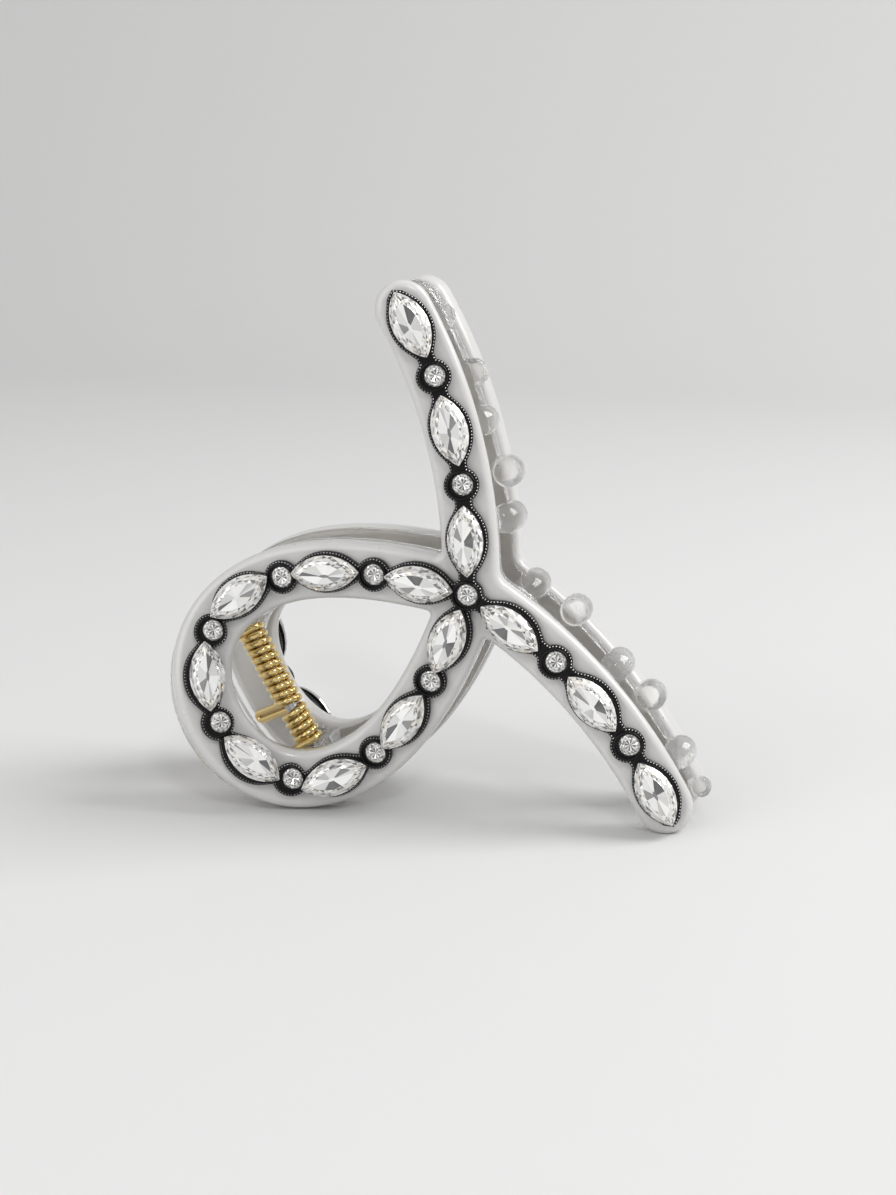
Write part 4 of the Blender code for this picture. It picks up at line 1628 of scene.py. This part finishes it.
@dataclass
class ClearFrame:
    """A jaw's clear frame: the plate behind the cover with its teeth and hinge lugs.

    A tooth's row gives its shares of the arm's length, of the bulge and of the radius. A row of a tooth's
    shoulder or body gives the shares of its bulge, of its reach and of its radius.
    """

    side: Side
    stand: Stand
    stack: HingeStack
    rim: float = 0.4 * MM
    rim_segments: int = 3
    corner: float = 1.2 * MM
    sharp: float = math.radians(32)
    front_upper_teeth: Shares = ((0.236, 0.63, 1.0), (0.567, 0.12, 1.0), (0.928, 0.0, 1.0))
    front_lower_teeth: Shares = ((0.159, 0.4, 1.0), (0.542, 0.86, 1.0), (0.891, 1.0, 1.0))
    back_upper_teeth: Shares = ((0.386, 1.2, 1.0), (0.721, 0.57, 1.0))
    back_lower_teeth: Shares = ((0.321, 1.3, 1.0), (0.687, 1.45, 1.0), (1.025, 1.1, 0.65))
    tooth_radius: float = 2.2 * MM
    tooth_root_depth: float = 1.0 * MM
    tooth_bulge: float = 1.7 * MM
    tooth_clearance: float = 1.0 * MM
    tooth_root_share: float = 0.45
    tooth_sides_level: int = 6
    tooth_shoulder: Shares = (
        (0.25, 0.88, 0.9),
        (0.55, 0.76, 0.98),
        (0.75, 0.65, 1.0),
        (0.92, 0.4, 1.0),
        (1.0, 0.1, 1.0),
    )
    tooth_body: Shares = (
        (1.0, 0.0, 1.0),
        (1.0, 0.5, 1.0),
        (1.0, 0.8, 0.97),
        (1.0, 0.9, 0.9),
        (1.0, 0.96, 0.78),
        (1.0, 0.99, 0.62),
        (1.0, 1.0, 0.45),
    )
    bore_clearance: float = 0.25 * MM
    bore_sides: int = 28
    lug_radius: float = 2.5 * MM
    lug_steps: int = 20
    lug_root_width: float = 6.4 * MM
    lug_root_depth: float = 1.0 * MM
    lug_rim: float = 0.3 * MM
    lug_rim_angle: float = 1.2
    lug_rim_segments: int = 2

    @property
    def half_width(self) -> float:
        """Half of the band's width."""
        return RIBBON.band_half - LAYERS.frame_inset

    def teeth(self) -> tuple[Shares, Shares]:
        """Return the teeth on the jaw's own upper side and on its lower side."""
        if self.side is Side.FRONT:
            return self.front_upper_teeth, self.front_lower_teeth
        return self.back_lower_teeth, self.back_upper_teeth

    def tooth(self, shares: tuple[float, float, float], sign: int) -> bpy.types.Object:
        """Return the shape of one tooth as a helper object in the jaw's frame.

        Args:
            shares: Its shares of the arm's length, of the bulge and of the radius.
            sign: 1 on the jaw's own upper side, -1 on its lower side.

        Returns:
            The tooth.
        """
        distance = shares[0] * RIBBON.arm_length
        bulge = shares[1] * self.tooth_bulge
        size = shares[2] * self.tooth_radius
        heading = RIBBON.arm_heading(distance)
        outward = Vector((heading.y, -heading.x * sign))
        edge = RIBBON.arm_edge(distance, self.half_width)
        foot = RIBBON.bent(edge.x, edge.y * sign, LAYERS.frame_bottom)
        depth = -foot.y
        reach = depth - self.tooth_clearance
        path = [(-size, depth + self.tooth_root_depth, self.tooth_root_share)]
        path += [(bulge * out, depth * level, share) for out, level, share in self.tooth_shoulder]
        path += [(bulge * out, -reach * level, share) for out, level, share in self.tooth_body]
        line = []
        for offset, level, share in path:
            place = Vector((foot.x + outward.x * offset, -level, foot.z + outward.y * offset))
            line.append((place, share * size))
        return helper(tubes([line], 1.0, self.tooth_sides_level))

    def lug(self, level: float) -> bpy.types.Object:
        """Make the shape of one hinge lug.

        Args:
            level: Level of its middle along the pin.

        Returns:
            The lug, as a helper object in the jaw's frame.
        """
        outline = []
        for angle in spread(0.0, math.pi, self.lug_steps):
            outline.append(Vector((self.lug_radius * math.cos(angle), self.lug_radius * math.sin(angle))))
        for sign in (-1, 1):
            place = sign * self.lug_root_width / 2
            depth = RIBBON.inner_face(place - RIBBON.hinge_to_crossing, LAYERS.frame_bottom)
            outline.append(Vector((place, -depth - self.lug_root_depth)))
        work = bmesh.new()
        flat_face(work, outline, level - self.stack.lug / 2)
        lift_faces(work, self.stack.lug)
        round_off(work, rim_edges(work, self.lug_rim_angle), self.lug_rim, self.lug_rim_segments)
        return helper(work)

    def bore(self, length: float) -> bpy.types.Object:
        """Make the shape of the pin's bore.

        Args:
            length: Length of the bore.

        Returns:
            The bore, as a helper object in the jaw's frame.
        """
        work = bmesh.new()
        radius = PIN_RADIUS + self.bore_clearance
        bmesh.ops.create_cone(
            work, cap_ends=True, segments=self.bore_sides, radius1=radius, radius2=radius, depth=length
        )
        return helper(work)

    def build(self) -> bpy.types.Object:
        """Build the frame and let it stand for its solid."""
        plate = RibbonPlate(
            self.half_width, LAYERS.frame_bottom, LAYERS.frame, self.corner, self.rim, self.rim_segments
        )
        work = plate.build()
        bend(work)
        bmesh.ops.remove_doubles(work, verts=work.verts, dist=MERGE)
        whole = helper(work)
        level = self.stack.lug_level(self.side)
        tools = []
        for sign, row in zip((1, -1), self.teeth()):
            for shares in row:
                tools.append((self.tooth(shares, sign), "UNION"))
            tools.append((self.lug(sign * level), "UNION"))
        tools.append((self.bore(2 * (level + self.stack.lug)), "DIFFERENCE"))
        for index, (tool, operation) in enumerate(tools):
            modifier = whole.modifiers.new(f"step_{index}", "BOOLEAN")
            modifier.operation = operation
            modifier.object = tool
            modifier.solver = "EXACT"
        work = evaluated(whole)
        for thing in [whole] + [tool for tool, _ in tools]:
            bpy.data.objects.remove(thing, do_unlink=True)
        name = f"{self.side.value}_frame"
        matrix = self.stand.matrix(self.side)
        thing = to_object(work, f"{name}_clear", [CLEAR], matrix, sharp=self.sharp)
        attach(thing, self.side.body)
        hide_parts(name)
        return thing


@dataclass
class Spring:
    """The double torsion spring: two coils on the front jaw and a hairpin leg on the back jaw.

    Attributes:
        stand: How the claw stands.
        wire_radius: Radius of the drawn wire, whose turns touch.
        solid_wire: Diameter of the solid's wire.
        pitch: Distance between turns.
        coil_radius: Radius of the coils' middle line.
        long_turns: Full turns of the upper coil.
        short_turns: Full turns of the lower coil.
        leg_reach: How far the legs reach from the pin towards the handle end.
        leg_clearance: Distance of the solid's legs from the frames.
        points_per_turn: Points on each turn.
        overlap: How far each coil runs on past the hairpin leg, so that the leg stays on it as the jaw opens.
        overlap_steps: Steps of that run.
        hook_steps: Steps round the hairpin's end.
        sides_level: Level of the wire's round sides.
        sharp: Angle past which an edge of the wire stays sharp.
    """

    stand: Stand
    wire_radius: float = 0.55 * MM
    solid_wire: float = 0.75 * MM
    pitch: float = 1.18 * MM
    coil_radius: float = 1.6 * MM
    long_turns: int = 10
    short_turns: int = 4
    leg_reach: float = 9.0 * MM
    leg_clearance: float = 0.3 * MM
    points_per_turn: int = 28
    overlap: float = math.radians(50)
    overlap_steps: int = 5
    hook_steps: int = 10
    sides_level: int = 4
    sharp: float = math.radians(60)

    def foot(self) -> Vector:
        """Return where a leg ends, across the pin."""
        wall = self.leg_clearance + self.solid_wire / 2
        depth = RIBBON.inner_face(-RIBBON.hinge_to_crossing - self.leg_reach, LAYERS.frame_bottom) - wall
        return Vector((-self.leg_reach, -depth))

    @property
    def leave(self) -> float:
        """Turn about the pin at which a straight leg leaves the coil."""
        foot = self.foot()
        return math.atan2(foot.y, foot.x) + math.acos(self.coil_radius / foot.length)

    @property
    def drop(self) -> float:
        """How far a coil goes along the pin for each radian of turn."""
        return self.pitch / (2 * math.pi)

    def sweep(self, turns: int) -> float:
        """Return the whole turn of a coil with this many full turns."""
        return -2 * self.leave % (2 * math.pi) + 2 * math.pi * turns

    @property
    def top(self) -> float:
        """Level of the upper leg along the pin."""
        return (self.sweep(self.long_turns) + self.sweep(self.short_turns)) * self.drop / 2 + self.pitch / 2

    def coil(self, turn: float, level: float) -> Vector:
        """Return the point of a coil at a turn about the pin and a level along it."""
        return Vector((self.coil_radius * math.cos(turn), self.coil_radius * math.sin(turn), level))

    def angles(self, sweep: float) -> list[float]:
        """Return the turns of a coil's points from its start."""
        return spread(0.0, sweep, round(self.points_per_turn * sweep / (2 * math.pi)))

    def hairpin(self, start: Vector, foot: Vector) -> list[Vector]:
        """Return the line of the hairpin leg.

        Args:
            start: Where it leaves the upper coil.
            foot: The far end of its bend.

        Returns:
            Its points, up to where it meets the lower coil.
        """
        run = (foot - start).normalized()
        hook = self.pitch / 2
        turn_at = foot - run * hook
        line = [start]
        for angle in spread(0.0, math.pi, self.hook_steps):
            down = Vector((0, 0, hook)) * (1 - math.cos(angle))
            line.append(turn_at + run * hook * math.sin(angle) - down)
        return line

    def lines(self) -> tuple[list[list[Vector]], list[Vector]]:
        """Return the lines of the two coils with their legs, and the line of the hairpin leg."""
        foot, leave = self.foot(), self.leave
        long_sweep, short_sweep = self.sweep(self.long_turns), self.sweep(self.short_turns)
        level = self.top
        upper = [Vector((foot.x, foot.y, level))]
        upper += [self.coil(leave + angle, level - angle * self.drop) for angle in self.angles(long_sweep)]
        level -= long_sweep * self.drop
        for angle in spread(0.0, self.overlap, self.overlap_steps)[1:]:
            upper.append(self.coil(leave + long_sweep + angle, level))
        hairpin = self.hairpin(self.coil(leave + long_sweep, level), Vector((foot.x, -foot.y, level)))
        level -= self.pitch
        hairpin.append(self.coil(-leave, level))
        overlap = spread(self.overlap, 0.0, self.overlap_steps)[:-1]
        lower = [self.coil(-leave + angle, level) for angle in overlap]
        lower += [self.coil(-leave - angle, level - angle * self.drop) for angle in self.angles(short_sweep)]
        level -= short_sweep * self.drop
        lower.append(Vector((foot.x, foot.y, level)))
        return [upper, lower], hairpin

    def wire(self, name: str, lines: Sequence[Sequence[Vector]]) -> bpy.types.Object:
        """Return round wire along lines in the front jaw's frame, as a mesh piece."""
        even = [[(place, 1.0) for place in line] for line in lines]
        work = tubes(even, self.wire_radius, self.sides_level)
        return to_object(work, name, [BRASS], self.stand.matrix(Side.FRONT), sharp=self.sharp)

    def build(self) -> list[bpy.types.Object]:
        """Build the spring's wire and let it stand for its solid."""
        coils, hairpin = self.lines()
        body = self.wire("torsion_spring_coils", coils)
        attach(body, Side.FRONT.body)
        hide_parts("torsion_spring")
        leg = self.wire("torsion_spring_hairpin", [hairpin])
        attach(leg, Side.BACK.body)
        return [body, leg]


@dataclass
class Pin:
    """The hinge pin with a rounded head at each end."""

    stand: Stand
    half_length: float
    head_radius: float = 1.7 * MM
    head: float = 0.6 * MM
    head_rim: float = 0.2 * MM
    head_segments: int = 3
    sides: int = 40

    def rod(self, radius: float, length: float, middle: float, closed: bool) -> bmesh.types.BMesh:
        """Return a round rod along the pin.

        Args:
            radius: Its radius.
            length: Its length.
            middle: Level of its middle along the pin.
            closed: Whether its ends are closed.

        Returns:
            The rod.
        """
        work = bmesh.new()
        bmesh.ops.create_cone(
            work,
            cap_ends=closed,
            segments=self.sides,
            radius1=radius,
            radius2=radius,
            depth=length,
            matrix=Matrix.Translation((0.0, 0.0, middle)),
        )
        return work

    def build(self) -> bpy.types.Object:
        """Build the pin and let it stand for its solid."""
        parts = [self.rod(PIN_RADIUS, 2 * self.half_length, 0.0, closed=False)]
        for sign in (1, -1):
            middle = sign * (self.half_length + self.head / 2)
            cap = self.rod(self.head_radius, self.head, middle, closed=True)
            round_off(cap, rim_edges(cap), self.head_rim, self.head_segments, clamp=True)
            parts.append(cap)
        thing = to_object(joined(parts), "hinge_pin_turned", [STEEL], self.stand.matrix(Side.FRONT))
        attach(thing, Side.FRONT.body)
        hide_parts("hinge_pin")
        return thing


# Stage


@dataclass(frozen=True)
class Viewpoint:
    """The photograph's viewing angle, with the focal length and frame height in its pixels."""

    azimuth: float = math.radians(13.486)
    elevation: float = math.radians(11.424)
    roll: float = math.radians(0.688)
    distance: float = 311.28 * MM
    target: tuple[float, float, float] = (-0.062 * MM, 0.0, 29.675 * MM)
    focal: float = 2200.0
    frame_height: float = 1195.0
    sensor: float = 36.0
    nearest: float = 0.01
    farthest: float = 20.0

    def build(self) -> bpy.types.Object:
        """Add the camera and make it the scene's own."""
        turn, rise = self.azimuth, self.elevation
        back = Vector((math.sin(turn) * math.cos(rise), -math.cos(turn) * math.cos(rise), math.sin(rise)))
        right = Vector((math.cos(turn), math.sin(turn), 0.0))
        up = back.cross(right)
        level = right * math.cos(self.roll) + up * math.sin(self.roll)
        upright = up * math.cos(self.roll) - right * math.sin(self.roll)
        lens = bpy.data.cameras.new("viewpoint")
        lens.sensor_width = self.sensor
        lens.sensor_fit = "AUTO"
        lens.lens = self.sensor * self.focal / self.frame_height
        lens.clip_start = self.nearest
        lens.clip_end = self.farthest
        camera = linked("viewpoint", lens)
        axes = Matrix((level, upright, back)).transposed().to_4x4()
        camera.matrix_world = Matrix.Translation(Vector(self.target) + back * self.distance) @ axes
        bpy.context.scene.camera = camera
        return camera


@dataclass(frozen=True)
class Lamp:
    """A soft square lamp."""

    name: str
    place: tuple[float, float, float]
    size: float
    power: float

    def build(self, aim: Vector) -> bpy.types.Object:
        """Add the lamp, facing a point.

        Args:
            aim: The point.

        Returns:
            The lamp.
        """
        light = bpy.data.lights.new(self.name, "AREA")
        light.shape = "SQUARE"
        light.size = self.size
        light.energy = self.power
        lamp = linked(self.name, light)
        place = Vector(self.place)
        facing = (place - aim).to_track_quat("Z", "Y").to_matrix().to_4x4()
        lamp.matrix_world = Matrix.Translation(place) @ facing
        return lamp


@dataclass(frozen=True)
class Studio:
    """Plain pale floor that sweeps up behind the claw, and soft light."""

    half_width: float = 9.0
    front: float = -9.0
    sweep_start: float = 0.55
    sweep_radius: float = 0.35
    sweep_steps: int = 16
    wall_height: float = 1.4
    world_colour: Rgb = (1.0, 1.0, 0.995)
    world_strength: float = 0.60
    lamps: tuple[Lamp, ...] = (
        Lamp("window_lamp", (0.60, 0.20, 0.62), 0.55, 6.0),
        Lamp("front_lamp", (-0.55, -0.75, 0.45), 0.8, 3.4),
        Lamp("spark_lamp", (0.28, -0.60, 0.60), 0.10, 1.0),
    )

    def floor(self) -> bpy.types.Object:
        """Build the floor and the wall that it sweeps up into."""
        work = bmesh.new()
        line = [(self.front, 0.0)]
        for angle in spread(0.0, math.pi / 2, self.sweep_steps):
            y = self.sweep_start + self.sweep_radius * math.sin(angle)
            line.append((y, self.sweep_radius * (1 - math.cos(angle))))
        line.append((line[-1][0], self.wall_height))
        row = [work.verts.new((-self.half_width, y, z)) for y, z in line]
        edges = [work.edges.new(pair) for pair in zip(row, row[1:])]
        made = bmesh.ops.extrude_edge_only(work, edges=edges)["geom"]
        lifted = [part for part in made if isinstance(part, bmesh.types.BMVert)]
        bmesh.ops.translate(work, verts=lifted, vec=(2 * self.half_width, 0.0, 0.0))
        bmesh.ops.recalc_face_normals(work, faces=work.faces)
        if work.faces[:][0].normal.z < 0:
            bmesh.ops.reverse_faces(work, faces=work.faces)
        thing = to_object(work, "studio_floor", [PAPER])
        return thing

    def build(self) -> None:
        """Build the stage and set the scene's colour handling."""
        self.floor()
        low, high = CAD_BOX
        aim = (Vector(low) + Vector(high)) / 2
        for lamp in self.lamps:
            lamp.build(aim)
        scene = bpy.context.scene
        world = bpy.data.worlds.new("soft_sky")
        scene.world = world
        world.use_nodes = True
        tree = world.node_tree
        sky = {"Color": self.world_colour, "Strength": self.world_strength}
        feed_all(tree, tree.nodes["Background"], sky)
        scene.view_settings.view_transform = "Standard"


def report(piece: bpy.types.Object) -> None:
    """Log a finished piece with its number of faces."""
    LOG.info("%s: %d faces", piece.name, len(piece.data.polygons))


def main() -> None:
    """Build the camera and the stage, then the claw's pieces in order."""
    logging.basicConfig(level=logging.INFO, format="%(message)s")
    stand = Stand.from_joint(frame["joints"][0])
    Viewpoint().build()
    Studio().build()
    spring = Spring(stand)
    stack = HingeStack(spring.top + spring.solid_wire / 2)
    for side in Side:
        report(Cover(side, stand).build())
        report(Setting(side, stand).build())
        report(ClearFrame(side, stand, stack).build())
        chance = random.Random(f"{side.value} crystals")
        for seat in RIBBON.seats():
            report(Crystal(side, stand, seat).build(chance))
    for piece in spring.build():
        report(piece)
    report(Pin(stand, stack.pin_half).build())


if __name__ == "__main__":
    main()
